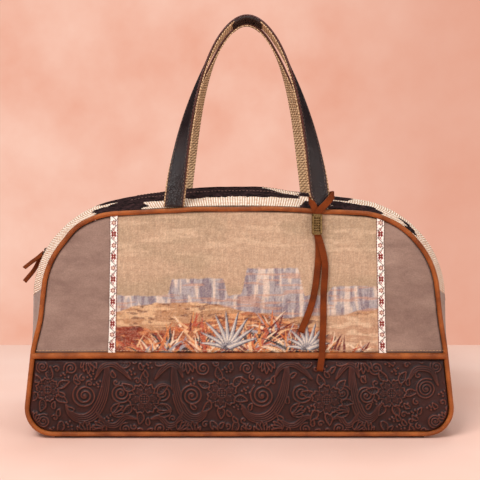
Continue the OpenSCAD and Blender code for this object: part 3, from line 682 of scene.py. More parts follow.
# The tooling is worked out on a raster over the band, with a step in millimetres
TOOL_STEP = 0.45
TOOL_X, TOOL_S = np.meshgrid(np.arange(-263, 263.5, TOOL_STEP), np.arange(4, 101, TOOL_STEP),
                             indexing="ij")
# Middle and radius of each flower
FLOWERS = [(-232, 61, 15.5), (-115, 50, 20.5), (-21, 57, 20), (106, 49, 20.5), (184, 57, 19)]
# Between two flowers the pattern repeats, mirrored each time: stems as places, from 0 at one flower to 1
# at the other, and heights
STEMS = [([(0.62, 97), (0.61, 74), (0.565, 50), (0.475, 31), (0.36, 25), (0.25, 30), (0.19, 43)],
          (0, 2.8, 5.6)),
         ([(0.5, 76), (0.56, 88), (0.67, 92), (0.78, 84), (0.86, 74)], (0, 2.6)),
         ([(0.5, 34), (0.6, 19), (0.7, 17), (0.8, 27), (0.92, 25)], (0, 2.6))]


def tooling():
    """Height of the stamped scroll over the band, in millimetres."""
    x, s = TOOL_X, TOOL_S
    h = np.zeros(x.shape)
    for i, ((ax, _, _), (bx, _, _)) in enumerate(zip(FLOWERS[:-1], FLOWERS[1:])):
        hand = 1 if i % 2 == 0 else -1
        start, w = (ax if hand > 0 else bx), bx - ax

        def at(u):
            return start + u * hand * w

        def turned(angle):
            return angle if hand > 0 else 180 - angle

        for stem, lines in STEMS:
            vine(x, s, h, [(at(u), high) for u, high in stem], lines)
        for u, high, r, turns, way, begin in ((0.385, 54, min(15, w * 0.15), 2.6, 1, 2.2),
                                              (0.76, 57, min(12.5, w * 0.13), 2.4, -1, 0.4),
                                              (0.8, 12.5, 7.5, 1.8, 1, 1.2),
                                              (0.24, 87, 8.5, 2, -1, 2.8)):
            scroll(x, s, h, at(u), high, r, turns, way * hand, begin)
        for u, high, angle, long, lobes in ((0.38, 5, 90, 18, 5), (0.43, 98, -92, 18, 5),
                                            (0.66, 33, turned(18), 18, 4),
                                            (0.58, 12, turned(150), 16, 4)):
            fan(x, s, h, at(u), high, angle, long, lobes)
        leaf(x, s, h, at(0.14), 22, turned(250), 16, 4)
        leaf(x, s, h, at(0.86), 92, turned(170), 18, 4.4)
    for k, (cx, cs, r) in enumerate(FLOWERS):
        for angle in (12, 74, 128, 198, 242, 318):
            angle = angle + 9 * k
            a = math.radians(angle)
            leaf(x, s, h, cx + r * 0.85 * math.cos(a), cs + r * 0.85 * math.sin(a), angle + 16, 16, 4.2)
        blossom(x, s, h, cx, cs, r, 0.3 + 0.7 * k)
    for cx, hand in ((-238, 1), (238, -1)):
        scroll(x, s, h, cx, 22, 9, 2.4, hand, 1.0)
        scroll(x, s, h, cx, 89, 8, 2.2, -hand, 2.0)
        fan(x, s, h, cx - 14 * hand, 22, 90 - 40 * hand, 14, 4)
    scroll(x, s, h, 226, 62, 13, 3, 1, 1.0)
    vine(x, s, h, [(204, 72), (214, 86), (232, 84), (241, 66)])
    # Curls, small leaves and seeds fill the ground that is still bare
    for i in range(-36, 37):
        for j in range(12):
            cx = i * 7.2 + 2.2 * math.sin(i * 2.1 + j)
            cs = 9 + j * 7.6 + 2 * math.sin(i * 1.3 + j * 2.2)
            near = np.hypot(x - cx, s - cs) < 3.6
            if near.any() and h[near].max() < 0.2:
                kind = (i * 7 + j * 3) % 4
                if kind == 0:
                    seeds(x, s, h, cx, cs, 6)
                elif kind == 1:
                    scroll(x, s, h, cx, cs, 4.4, 1.1, 1 if j % 2 else -1, i * 0.9)
                else:
                    leaf(x, s, h, cx - 4, cs - 2, 30 + 47 * (i + j) % 120, 10, 2.6)
    border = np.minimum(edge_distance(x, s), BAND_H - BAND_R - s)
    return h * ramp((border - 1.5) / 3)


def softened(field, reach):
    """A raster averaged over the reach, in millimetres, each way."""
    weights = np.hanning(2 * round(reach / TOOL_STEP) + 3)
    for axis in (0, 1):
        field = np.apply_along_axis(np.convolve, axis, field, weights / weights.sum(), "same")
    return field


def sampled(field, x, s):
    """A raster's values at places on the band."""
    u = np.clip((x - TOOL_X[0, 0]) / TOOL_STEP, 0, field.shape[0] - 1.01)
    v = np.clip((s - TOOL_S[0, 0]) / TOOL_STEP, 0, field.shape[1] - 1.01)
    i, j = u.astype(int), v.astype(int)
    low, high = (mix(field[i, k], field[i + 1, k], u - i) for k in (j, j + 1))
    return mix(low, high, v - j)


RELIEF = tooling()
RELIEF = RELIEF + 1.3 * softened(RELIEF, 5)
# How far each place stands above or below its neighbours: it paints the ridges lighter as a highlight
# and the grooves darker as shade
RELIEF_LIGHT_AND_SHADE = RELIEF - softened(RELIEF, 3.2)


# ---- picture woven into the cloth
def plain_ground(places, code):
    """Picture of one colour, with a row for each place."""
    return np.tile(np.array(colour_of(code)[:3]), (len(places), 1))


def paint(picture, share, code):
    tone = np.array(colour_of(code)[:3])
    picture += (tone - picture) * np.clip(share, 0, 1)[:, None]


def stroke(picture, x, s, x0, s0, lean, long, wide, bend, code):
    """Pointed blade of grass or leaf in one tone."""
    a = math.radians(lean)
    box = (np.abs(x - x0) < long + wide) & (np.abs(s - s0) < long + wide)
    if not box.any():
        return
    px, ps = x[box] - x0, s[box] - s0
    p = (px * math.sin(a) + ps * math.cos(a)) / long
    q = px * math.cos(a) - ps * math.sin(a) - bend * p * p
    half = wide * (1 - np.clip(p, 0, 1)) ** 0.7
    share = ((p > 0) & (p < 1)) * ramp((half - np.abs(q)) / 0.6 + 0.5)
    part = picture[box]
    paint(part, share, code)
    picture[box] = part


def fleck(picture, x, s):
    """Single light and dark picks, as coarse as they need to show."""
    thread = lattice(np.round(x / 1.1), np.round(s / 0.9), 3)
    paint(picture, 0.14 * (thread > 0.62), "#F1DCC0")
    paint(picture, 0.16 * (thread < 0.26), "#7A5A44")
    return picture


def desert_picture(x, s):
    """Plain desert view: streaked sky, flat-topped hills, scrub and grass before them."""
    x = x - CENTRE_X
    picture = plain_ground(x, "#BF9F83")
    paint(picture, 0.8 * patches(x / 60, s / 26, 3, 0.42, 0.3), "#B0967A")
    streak = layered(x / 34 + 0.4 * grain(s / 9, x / 50, 4), s / 5.5, 9)
    paint(picture, 0.45 * ramp((streak - 0.56) / 0.12) * ramp((s - 195) / 40), "#D8B99B")
    # Far hills, blue with a pale lit face
    far = 176 + 3.2 * (layered(x / 7, x * 0, 2) - 0.5)
    for high, left, rise, right, fall in ((20, -96, 7, -22, 8), (33, -8, 9, 70, 10),
                                          (11, 92, 12, 160, 6)):
        far += high * ramp((x - left) / rise) * ramp((right - x) / fall)
    hill = ramp((far - s) / 1.2 + 0.5)
    paint(picture, hill, "#A8A0A2")
    rock = layered(x / 5, s / 26, 12)
    paint(picture, hill * ramp((rock - 0.5) / 0.1) * 0.8, "#E2CDBB")
    paint(picture, hill * ramp((0.42 - rock) / 0.1) * 0.75, "#7C6C78")
    paint(picture, hill * patches(x / 30, s / 3.2, 30, 0.56, 0.1) * 0.5, "#C98F6E")
    # Middle ground: rounded rust and ochre slopes with pale tracks
    for base, high, wide, tone, lit, seed in ((158, 9, 48, "#B98B66", "#DDB58C", 41),
                                              (144, 10, 36, "#A9623F", "#E1A673", 52),
                                              (130, 10, 30, "#8E3D2A", "#D98D5C", 63)):
        edge = base + high * np.sin(x / wide + seed) + 7 * (layered(x / 22, x * 0, seed) - 0.5)
        slope = ramp((edge - s) / 1.5 + 0.5)
        paint(picture, slope, tone)
        paint(picture, slope * patches(x / 20, s / 3.4, seed + 3, 0.52, 0.1) * 0.85, lit)
        paint(picture, slope * patches(x / 9, s / 2.8, seed + 6, 0.62, 0.08) * 0.7, "#5E2A26")
    pale = ramp((x - 92 + 0.5 * (s - 110)) / 26) * ramp((158 - s) / 12)
    paint(picture, pale * 0.85, "#C39C7E")
    paint(picture, pale * patches(x / 16, s / 3, 71, 0.54, 0.1) * 0.7, "#E0C2A2")
    # Dark scrub along the front
    scrub = 118 + 13 * np.exp(-((x - 10) / 62) ** 2) + 8 * (layered(x / 8, x * 0, 80) - 0.5)
    dark = ramp((scrub - s) / 2.5 + 0.5) * ramp((96 - x) / 24) * ramp((x + 118) / 20)
    paint(picture, dark, "#35252B")
    paint(picture, dark * patches(x / 5, s / 4, 84, 0.55, 0.1), "#6B1F22")
    rng = np.random.default_rng(7)
    tones = ["#E8B98A", "#B5533A", "#D88D52", "#F0D6B8", "#6B1F22", "#9C9AA0", "#C9713F", "#2A2A35"]
    for cx, cs, count, tall in ((-92, 108, 46, 30), (-46, 104, 44, 38), (6, 106, 52, 44),
                                (58, 104, 46, 36), (98, 104, 34, 24), (-124, 106, 22, 20),
                                (132, 104, 20, 15), (30, 132, 30, 24), (-66, 134, 24, 18)):
        for k in range(count):
            lean = rng.uniform(-62, 62)
            stroke(picture, x, s, cx + rng.normal(0, 7) + lean * 0.12, cs + rng.uniform(-4, 7), lean,
                   tall * rng.uniform(0.5, 1.1), rng.uniform(0.9, 2.1), lean * rng.uniform(0.05, 0.2),
                   tones[int(rng.integers(len(tones)))])
    # Agave with blue-grey leaves
    for cx, cs, tall in ((-22, 112, 46), (74, 110, 34)):
        for lean in (-74, -56, -38, -20, -4, 14, 30, 48, 66):
            long = tall * (0.7 + 0.3 * math.cos(math.radians(lean)))
            for left, up, share, wide, tone in ((0, 0, 1, 4.2, "#4A4754"),
                                                (0.6, 0.5, 0.96, 2.9, "#A9A7AC"),
                                                (1.2, 0.5, 0.9, 1.0, "#E5DACB")):
                stroke(picture, x, s, cx - left, cs + up, lean, long * share, wide, lean * 0.06, tone)
    return fleck(picture, x, s)


def plain_picture(x, s):
    """The back's cloth: the same tan ground with a small woven diamond figure."""
    picture = plain_ground(x, "#CBA382")
    paint(picture, 0.7 * patches(x / 60, s / 26, 3, 0.42, 0.3), "#BD9873")
    u, v = (x / 26) % 1 - 0.5, ((s + 26 * (np.floor(x / 26) % 2) / 2) / 26) % 1 - 0.5
    figure = np.abs(u) + np.abs(v)
    paint(picture, 0.75 * ramp((0.035 - np.abs(figure - 0.3)) / 0.02), "#8E3D2A")
    paint(picture, 0.75 * ramp((0.09 - figure) / 0.03), "#5C5964")
    return fleck(picture, x, s)


def braid_picture(across, along):
    """Flowers, rings and sprigs up a cream braid, between two dark edges."""
    picture = plain_ground(across, "#FFF6EC")
    w = along % 27
    for at, r, hole, lobes in ((6.8, 3.9, 0.7, 2), (20.2, 3.3, 1.5, 3)):
        d, a = np.hypot(across, w - at), np.arctan2(w - at, across)
        rim = r * (0.45 + 0.55 * np.abs(np.sin(lobes * a)) ** 0.8)
        paint(picture, ramp((rim - d) / 0.5 + 0.5), "#7E1F1E")
        paint(picture, ramp((hole - d) / 0.5 + 0.5) * 0.9, "#E8CBB2")
    for side in (-1, 1):
        for at, way in ((1.9, 1), (11.6, -1)):
            d = np.abs((w - at) * 0.8 - side * across * way)
            near = (np.abs(across) < 3.9) * (np.abs(w - at) < 2.4)
            paint(picture, ramp((0.7 - d) / 0.4) * near, "#9A342F")
    for at, way in ((13.6, 1), (26.2, -1), (-0.8, -1)):
        d = np.abs((w - at) - way * across * 0.9)
        paint(picture, ramp((0.8 - d) / 0.4) * (np.abs(across) < 3.8), "#6B6155")
        for side in (-1, 1):
            d = np.hypot(across - side * 2.4, (w - at - side * way * 3.2) / 1.2)
            paint(picture, ramp((1.1 - d) / 0.4) * 0.9, "#6B6155")
    paint(picture, 0.9 * ramp((np.abs(across) - 4.15) / 0.3), "#5A3128")
    return picture


# ---- front and back
def set_attribute(mesh, name, values, kind="FLOAT", field="value"):
    data = mesh.attributes.new(name, kind, "POINT").data
    data.foreach_set(field, values.astype(np.float32).ravel())


def panel_piece(name, side, box, step, cuts, out_of, material, stands_for, thick=2.4, picture=None,
                tooled=False):
    """Panel of the front or back: a grid cut to the seam's outline and to the given lines, shaped to its
    swell, with its edge turned in and a flat back."""
    x0, s0, x1, s1 = box
    bm = bmesh.new()
    wide, high = x1 - x0, s1 - s0
    bmesh.ops.create_grid(bm, x_segments=int(wide / step), y_segments=int(high / step), size=0.5)
    bmesh.ops.scale(bm, vec=(wide, high, 1), verts=bm.verts)
    bmesh.ops.translate(bm, vec=((x0 + x1) / 2, (s0 + s1) / 2, 0), verts=bm.verts)
    line, _ = seam_line(-EDGE_GAP, corner=9, side=1, shoulder=26, crown=8)
    edges = [(a, (b[1] - a[1], a[0] - b[0])) for a, b in zip(line, np.roll(line, -1, 0))]
    for at, normal in edges + cuts:
        past = [(x - at[0]) * normal[0] + (s - at[1]) * normal[1] for x in (x0, x1) for s in (s0, s1)]
        if max(past) > 0 > min(past):
            bmesh.ops.bisect_plane(bm, geom=bm.verts[:] + bm.edges[:] + bm.faces[:], dist=1e-4,
                                   plane_co=(*at, 0), plane_no=(*normal, 0), clear_outer=True)
    rim = [e for e in bm.edges if e.is_boundary]
    for v in bmesh.ops.extrude_edge_only(bm, edges=rim)["geom"]:
        if isinstance(v, bmesh.types.BMVert):
            v.co.z = -thick
    bmesh.ops.contextual_create(bm, geom=[e for e in bm.edges if e.is_boundary])
    mesh = bpy.data.meshes.new(name)
    bm.to_mesh(mesh)
    bm.free()
    co = np.empty(len(mesh.vertices) * 3)
    mesh.vertices.foreach_get("co", co)
    x, s, deep = co.reshape(-1, 3).T
    raised = sampled(RELIEF, x, s) * TOOLING_DEPTH if tooled else 0
    out = np.where(deep > -thick / 2, out_of(x, s) + raised, deep)
    spots = face_point(x, s, out, side) * MM
    mesh.vertices.foreach_set("co", spots.astype(np.float32).ravel())
    # Painted shade: nearness to a seam, which the materials darken as a shadow line
    set_attribute(mesh, "seam", np.exp(-(seam_distance(x, s, cuts) / 1.5) ** 2))
    if tooled:
        # Painted highlight on the ridges and painted shade in the grooves
        set_attribute(mesh, "relief_light_and_shade", sampled(RELIEF_LIGHT_AND_SHADE, x, s))
    if picture:
        tint = np.hstack([picture(x, s), np.ones((len(x), 1))])
        set_attribute(mesh, "picture", tint, "FLOAT_COLOR", "color")
    shape = bmesh.new()
    shape.from_mesh(mesh)
    bpy.data.meshes.remove(mesh)
    bmesh.ops.recalc_face_normals(shape, faces=shape.faces)
    finish_piece(shape, name, material, "bag", [stands_for])


def sunk(x, s, lines=()):
    """Dip of a panel beside its seams, where the thread pulls it in."""
    return -0.9 * np.exp(-(seam_distance(x, s, lines) / 1.4) ** 2)


def ribbon_line(side, off, outward):
    """Line beside a ribbon, as a point and the direction that is cut away."""
    a, b = ribbon_x(side, 105) + off, ribbon_x(side, 280) + off
    return (a, 105), (outward * 175, -outward * (b - a))


HALVES = ((-1, "front"), (1, "back"))
HANDS = ((-1, "left"), (1, "right"))
COARSE = 1
# Heights between which the upper panels' grids lie before they are cut
PANEL_LOW, PANEL_TOP = 104, 282
TOOLING_DEPTH = 1.9
# The panels end at the band's piping
ABOVE_BAND = ((0, BAND_H + BAND_R + 0.2), (0, -1))
BAND_TOP = ((0, BAND_H - BAND_R - 0.2), (0, 1))


def cushion(x, s):
    return puff(x, s) + sunk(x, s, [ABOVE_BAND])


def band_swell(x, s):
    swell = 3.2 * ramp(edge_distance(x, s) / 46) * ramp((97 - s) / 46)
    return 0.4 + swell + 1.5 * sunk(x, s, [BAND_TOP])


def braid_out(x, s, hand):
    """Outside of a braid, which thins towards its ends and edges."""
    edge = ramp((2 - edge_distance(x, s)) / 2) + ramp((np.abs(x - ribbon_x(hand, s)) - 4) / 0.7)
    return puff(x, s) + 0.9 - 0.5 * edge


for side, tag in HALVES:
    panel_piece(f"{tag}_tapestry", side, (-162, PANEL_LOW, 178, PANEL_TOP), 1.0 * COARSE,
                [ABOVE_BAND, ribbon_line(-1, 0.1, -1), ribbon_line(1, -0.1, 1)], cushion, TAPESTRY,
                f"{tag}_cloth", picture=desert_picture if side < 0 else plain_picture)
    for (hand, word), x0, x1 in zip(HANDS, (-262, 160), (-140, 262)):
        panel_piece(f"{tag}_{word}_suede", side, (x0, PANEL_LOW, x1, PANEL_TOP), 2.0,
                    [ABOVE_BAND, ribbon_line(hand, hand * 0.1, -hand)], cushion, SUEDE,
                    f"{tag}_side_{word}")
    for hand, word in HANDS:
        x0 = hand * 162 + 2
        panel_piece(f"{tag}_{word}_braid", side, (x0, PANEL_LOW, x0 + 18, PANEL_TOP), 0.45 * COARSE,
                    [ABOVE_BAND] + [ribbon_line(hand, way * RIBBON_W / 2, way) for way in (1, -1)],
                    lambda x, s, h=hand: braid_out(x, s, h), BRAID, f"{tag}_ribbon_{word}",
                    thick=1.0, picture=lambda x, s, h=hand: braid_picture(x - ribbon_x(h, s), s))
    panel_piece(f"{tag}_tooled_band", side, (-262, 7, 262, 98), 0.76 * COARSE, [BAND_TOP], band_swell,
                TOOLED, f"{tag}_band", tooled=True)


# ---- pipings
def cord_curve(name, points, radius, stands_for, radii=None):
    """Leather sewn round a cord: a round section along a line, closed unless the ends have radii."""
    curve = bpy.data.curves.new(name, "CURVE")
    curve.dimensions = "3D"
    curve.bevel_depth = radius * MM
    curve.bevel_resolution = 5
    curve.use_fill_caps = radii is not None
    spline = curve.splines.new("POLY")
    spline.points.add(len(points) - 1)
    for i, p in enumerate(points):
        spline.points[i].co = (*(np.array(p) * MM), 1)
        spline.points[i].radius = 1 if radii is None else radii[i]
    spline.use_cyclic_u = radii is None
    spline.use_smooth = True
    curve.materials.append(PIPING)
    seat(new_object(name, curve), "bag", [stands_for])


def seam_wave(x, s, side):
    """Small waves of the seam along the crown, with a dip where each strap is sewn in."""
    top = ramp((s - 230) / 30)
    dips = np.exp(-((x + 76) / 15) ** 2) + 0.8 * np.exp(-((x - 95) / 13) ** 2)
    return top * (0.5 * np.sin(x / 17 + side) - 1.1 * dips)


BAND_HALF = 252.5
# The band's piping tapers into the seam at its ends: distance from the end, and share of its radius
TAPER = ((0, 0.25), (0.7, 0.68), (1.8, 0.9), (3.6, 1.0))
for side, tag in HALVES:
    line, normal = seam_line(0, corner=16, side=30, shoulder=50, crown=46)
    line = line + normal * seam_wave(line[:, 0], line[:, 1], side)[:, None]
    # It rests on the floor, so its underside is lifted there
    line[:, 1] += 0.9 * ramp((12 - line[:, 1]) / 8)
    cord_curve(f"{tag}_edge_cord", face_point(line[:, 0], line[:, 1], 0.0, side), EDGE_R,
               f"{tag}_edge_piping")
    end = np.array([d - BAND_HALF for d, _ in TAPER])
    xs = np.concatenate([end, np.linspace(8 - BAND_HALF, BAND_HALF - 8, 60), -end[::-1]])
    radii = [r for _, r in TAPER] + [1.0] * 60 + [r for _, r in TAPER[::-1]]
    wave = BAND_H + 1 + 0.35 * np.sin(xs / 41 + side)
    cord_curve(f"{tag}_band_cord", face_point(xs, wave, 0.4, side), BAND_R, f"{tag}_band_piping", radii)


# ---- gusset
def gusset_places(first, last, side, sign, vs, off, slot):
    """Rows of the gusset from a station to another, each from the seam (v 1) to the slot (v 0)."""
    a, b = (placed(stations(outline)[0], off)[first:last] for outline in (SEAM, RIDGE))
    deep = BASE_DEPTH / 2 - a[:, 1] * math.sin(PANEL_LEAN) - EDGE_GAP
    v = np.asarray(vs)[None, :]
    y = slot / 2 + v * (deep[:, None] - slot / 2)
    u = y / deep[:, None]
    # The section is full, like a box with round edges, at the bottom, and rounder higher up
    full = 8 - 5.8 * ramp(b[:, 1] / 120)[:, None]
    p = b[:, None, :] + (a - b)[:, None, :] * (u ** full)[:, :, None]
    x = side * p[..., 0]
    # The cloth beside the zip sags to the right of the crown
    sag = 11 * ramp((x - 28) / 52) * ramp((168 - x) / 60)
    share = (1 - np.clip((u - 0.12) / 0.58, 0, 1)) ** 2
    drop = np.where(b[:, 1:2] > 140, sag * share, 0)
    return drawn_in(np.stack([x, sign * y, p[..., 1] - drop], -1)), u


def crease(places, u, seed):
    """Soft folds of slack cloth, quiet at its seams."""
    x, y, z = np.moveaxis(places, -1, 0)
    fold = layered(x / 34 + y / 60, y / 26 + z / 40, seed) - 0.5
    return 2.2 * fold * ramp((1 - u) / 0.18) * ramp(u / 0.2)


def patch_of(x, u, sign):
    """Above 0 in the dark chenille, below 0 in the cream cloth, about 1 for each millimetre. A box runs
    from x0 to x1 along the bag, and from u0 to u1 between the zip (0) and the seam (1)."""
    d = u * CLOTH_REACH
    waver = 3 * np.sin(x / 11) + 2 * np.sin(x / 5.1 + 1)
    x = x + 3.4 * np.sin(d / 8 + 1) + 1.6 * np.sin(d / 3.4)

    def box(x0, x1, u0, u1):
        a = np.minimum(x - x0, x1 - x)
        b = np.minimum(d - u0 * CLOTH_REACH, u1 * CLOTH_REACH - d)
        round_by = 9 * np.exp(-np.maximum(np.minimum(a, b), 0) / 6) * np.exp(-np.abs(a - b) / 8)
        return np.minimum(a, b) - 0.4 * round_by

    if sign < 0:
        shapes = [np.minimum(box(-179, -116, -0.1, 1.1), -box(-192, -157, 0.3, 0.6)),
                  box(-117, 78, -0.1, 0.7), box(73, 108, 0.74, 1.1), box(107, 171, 0.57, 1.1),
                  box(197, 212, 0.58, 0.99)]
    else:
        shapes = [box(-182, 36, -0.1, 0.55), box(60, 64, 0.1, 0.3), box(76, 98, 0.0, 0.7),
                  box(112, 147, -0.1, 0.5), box(-230, -190, 0.4, 0.8), box(-96, -30, 0.7, 1.1)]
    return np.clip(np.maximum.reduce(shapes) + 0.15 * waver, -4, 4)


UP_START = stations(SEAM)[1]
ZIP_SLOT = 12
ZIP_VS = np.linspace(0, 1, 44) ** 0.85
SIDE_VS = np.linspace(0, 1, 34)
# Half the thickness of the gusset's cloth
CLOTH_HALF = 1.5
# How far from the zip's middle the gusset's cloth reaches, at the sides and less over the crown
CLOTH_REACH, CROWN_LESS = 95, 3.8


def crown_rows(sign, vs, off):
    """Rows of half the zip gusset, over the crown from left to right."""
    left, right = (gusset_places(UP_START, None, side, sign, vs, off, ZIP_SLOT) for side in (-1, 1))
    return [np.vstack([a, b[-2::-1]]) for a, b in zip(left, right)]


def side_rows(side, off):
    """Rows of a side gusset from the bottom up, each from the front's seam to the back's."""
    halves = [gusset_places(0, UP_START + 1, side, sign, vs, off, 0)
              for sign, vs in ((-1, SIDE_VS[::-1]), (1, SIDE_VS[1:]))]
    return [np.concatenate(pair, 1) for pair in zip(*halves)]


def folded(rows, fold):
    """Outside and inside of the cloth, moved by its folds."""
    (outer, u), (inner, _) = rows(CLOTH_HALF), rows(-CLOTH_HALF)
    shift = fold(outer, u)[..., None] * unit(outer - inner)
    return outer + shift, inner + shift


def zip_gusset_piece(sign, tag):
    outer, inner = folded(lambda off: crown_rows(sign, ZIP_VS, off),
                          lambda places, u: crease(places, u, 20 + sign))
    # One sheet goes over the outside, round the hem beside the zip and back along the inside
    hem = (outer[:, :1] + inner[:, :1]) / 2 + np.array([0, -sign * 0.6, 0])
    seam = (outer[:, -1:] + inner[:, -1:]) / 2
    ring = np.concatenate([outer, seam, inner[:, ::-1], hem, outer[:, :1]], axis=1)
    bm = closed_grid(ring, reaches(outer[:, 20]), reaches(ring[len(ring) // 2]))
    layer, seam_shade_layer = (bm.verts.layers.float.new(name) for name in ("patch", "seam"))
    for v in bm.verts:
        x, y = v.co.x / MM, abs(v.co.y) / MM
        deep = CLOTH_REACH - CROWN_LESS * min(1, max(0, v.co.z / MM - 185) / 95)
        v[layer] = float(patch_of(np.array(x), np.array(y / deep), sign))
        # Painted shade along the gusset's seam with the front and back
        v[seam_shade_layer] = math.exp(-(max(deep - 1.5 - y, 0) / 1.6) ** 2)
    finish_piece(bm, f"{tag}_zip_gusset", GUSSET_CLOTH, "bag", [f"zip_gusset_{tag}"])


def side_gusset_piece(side, tag):
    def fold(places, u):
        y, z = places[..., 1], places[..., 2]
        quiet = ramp((z - 6) / 30) * ramp((1 - u) / 0.2)
        return 2.6 * (layered(y / 40, z / 46, 33 + side) - 0.5) * quiet

    outer, inner = folded(lambda off: side_rows(side, off), fold)
    ring = np.concatenate([outer, inner[:, ::-1], outer[:, :1]], axis=1)
    bm = closed_grid(ring, reaches(outer[:, 20]), reaches(ring[20]))
    finish_piece(bm, f"{tag}_side_gusset", SUEDE, "bag", [f"side_gusset_{tag}"])


for sign, tag in HALVES:
    zip_gusset_piece(sign, tag)
for side, tag in HANDS:
    side_gusset_piece(side, tag)


# ---- handles
HANDLE_LEAN = math.radians(8.7)
# Half an arch as a cubic curve from its foot to its top: out from its middle, and up along its lean
RUN = np.array([(86, 0), (78.5, 105.8), (44.72, 230), (0, 230)], float)
FOOT_AT = np.array([9.5, -93.1777, 281.675])
FRONT_N = np.array([0, -math.cos(HANDLE_LEAN), math.sin(HANDLE_LEAN)])
UP_N = np.array([0, math.sin(HANDLE_LEAN), math.cos(HANDLE_LEAN)])
# Where along the run the strap has turned by the full angle
TURN_END, TURN_TOP = 0.72, math.radians(90)


def run_at(t):
    u = 1 - t
    return u ** 3 * RUN[0] + 3 * u * u * t * RUN[1] + 3 * u * t * t * RUN[2] + t ** 3 * RUN[3]


def share_at(high):
    """How far along its run, from 0 to 1, the strap reaches a height."""
    low, top = 0.0, 0.3
    for _ in range(24):
        mid = (low + top) / 2
        low, top = (mid, top) if run_at(mid)[1] < high else (low, mid)
    return (low + top) / 2


FOLD_T = share_at(23)


def strap_stop(q):
    """Place, direction across and face of a strap: q runs from -1 at its left foot to 1 at its right."""
    side, t = (-1 if q < 0 else 1), 1 - abs(q)
    c = run_at(t)
    d = unit(run_at(min(1, t + 0.001)) - run_at(t - 0.001))
    lean = math.atan2(d[0], d[1]) * float(ramp((t - FOLD_T) / 0.12))
    m = np.array([side * math.cos(lean), 0, 0]) - math.sin(lean) * UP_N
    past = np.clip((t - FOLD_T) / (TURN_END - FOLD_T), 0, 1)
    turn = TURN_TOP * (1 - (1 - past) ** 1.7)
    place = FOOT_AT + np.array([side * c[0], 0, 0]) + UP_N * c[1]
    wide = math.cos(turn) * m - math.sin(turn) * FRONT_N
    return place, wide, math.cos(turn) * FRONT_N + math.sin(turn) * m


# How much each arch, as it hangs, is narrower at its shoulders and higher at its top than the built one
HANG = {"front": (4.2, -3.0), "back": (5.0, 2.4)}


def strap_rows(reach, count, back, gathered):
    """Places, directions across, faces and shares of the width along a strap, from -reach to reach."""
    rows = []
    slim, rise = HANG["back" if back else "front"]
    for q in np.linspace(-reach, reach, count):
        place, wide, face = strap_stop(q)
        t = 1 - abs(q)
        shoulder = 3 * (1 - t) * t * t
        wider = 1.8 * (1 - t) ** 3 - slim * shoulder
        place = place + np.array([np.sign(q) * wider, 0, 0]) + UP_N * (rise * (shoulder + t ** 3))
        if back:
            place, wide, face = [v * np.array([1, -1, 1]) for v in (place, wide, face)]
        narrow = 0.5 + 0.5 * float(ramp(run_at(t)[1] / 17.5)) if gathered and q > 0 else 1.0
        rows.append((place, wide, face, narrow))
    return [np.array(column) for column in zip(*rows)]


def bend_at_fold(piece):
    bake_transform(piece)


CREASE_X = 8.4


def strap_groove(x):
    """Edge crease and the sunken line of its stitches, over a slight crown."""
    a = abs(x)
    return 0.42 * math.exp(-((a - CREASE_X) / 0.6) ** 2) + 0.35 * (a / 10.8) ** 2


def stitch_row(name, line, normals, pitch, long, thick, material, body=None):
    """Short raised stitches of thread, a pitch apart along a line. The normals are the line's."""
    steps = reaches(line)
    at = np.arange(pitch / 2, steps[-1], pitch)
    behind, spots, ahead = (read_off(np.clip(at + d, 0, steps[-1]), steps, line) for d in (-0.5, 0, 0.5))
    bm = bmesh.new()
    for p, d, n in zip(spots, unit(ahead - behind), read_off(at, steps, normals)):
        wide = unit(np.cross(d, n))
        turn = Matrix((Vector(wide), Vector(d), Vector(unit(np.cross(wide, d))))).transposed()
        size = Matrix.Diagonal((thick / 2 * MM, long / 2 * MM, thick / 2.4 * MM))
        at_spot = Matrix.Translation(Vector(p) * MM) @ (turn @ size).to_4x4()
        bmesh.ops.create_uvsphere(bm, u_segments=6, v_segments=4, radius=1, matrix=at_spot)
    return finish_piece(bm, name, material, body)


LEATHER_SECTION = flat_section(21.6, 0.1, 3.1, 1.1, 25, strap_groove)
WEBBING_SECTION = flat_section(25, -1.3, 0.1, 0.6, 9)
# The front's pad goes round the whole strap, and the back's lies under it
PAD_SECTIONS = {"front": flat_section(25.9, -2.9, 0.3, 0.7, 9),
                "back": flat_section(21.6, -1.9, -1.3, 0.7, 9)}
# The pad reaches this far each side of the top, and narrows over the last 0.03
PAD_REACH = 0.155
for tag in ("front", "back"):
    back, gathered = tag == "back", tag == "front"
    stops, across, faces, taper = strap_rows(0.9999, 250, back, gathered)
    leather = strand_through(stops, across, faces, LEATHER_SECTION, taper)
    bend_at_fold(finish_piece(leather, f"{tag}_strap_leather", STRAP_LEATHER,
                              stands_for=[f"{tag}_handle_leather", f"{tag}_strap_feet"]))
    lining = strand_through(stops, across, faces, WEBBING_SECTION, taper)
    bend_at_fold(finish_piece(lining, f"{tag}_strap_webbing", WEBBING,
                              stands_for=[f"{tag}_handle_lining"]))
    for hand, word in HANDS:
        line = stops + across * (hand * CREASE_X * taper)[:, None] + faces * 2.8
        bend_at_fold(stitch_row(f"{tag}_strap_stitches_{word}", line, faces, 4.4, 3.3, 0.8,
                                BROWN_THREAD))
    stops, across, faces, _ = strap_rows(PAD_REACH, 60, back, False)
    narrow = 0.8 + 0.2 * ramp((PAD_REACH - np.abs(np.linspace(-PAD_REACH, PAD_REACH, 60))) / 0.03)
    pad = strand_through(stops, across, faces, PAD_SECTIONS[tag], narrow)
    finish_piece(pad, f"{tag}_grip_pad", GRIP_LEATHER, f"{tag}_handle", [f"{tag}_handle_grip"])


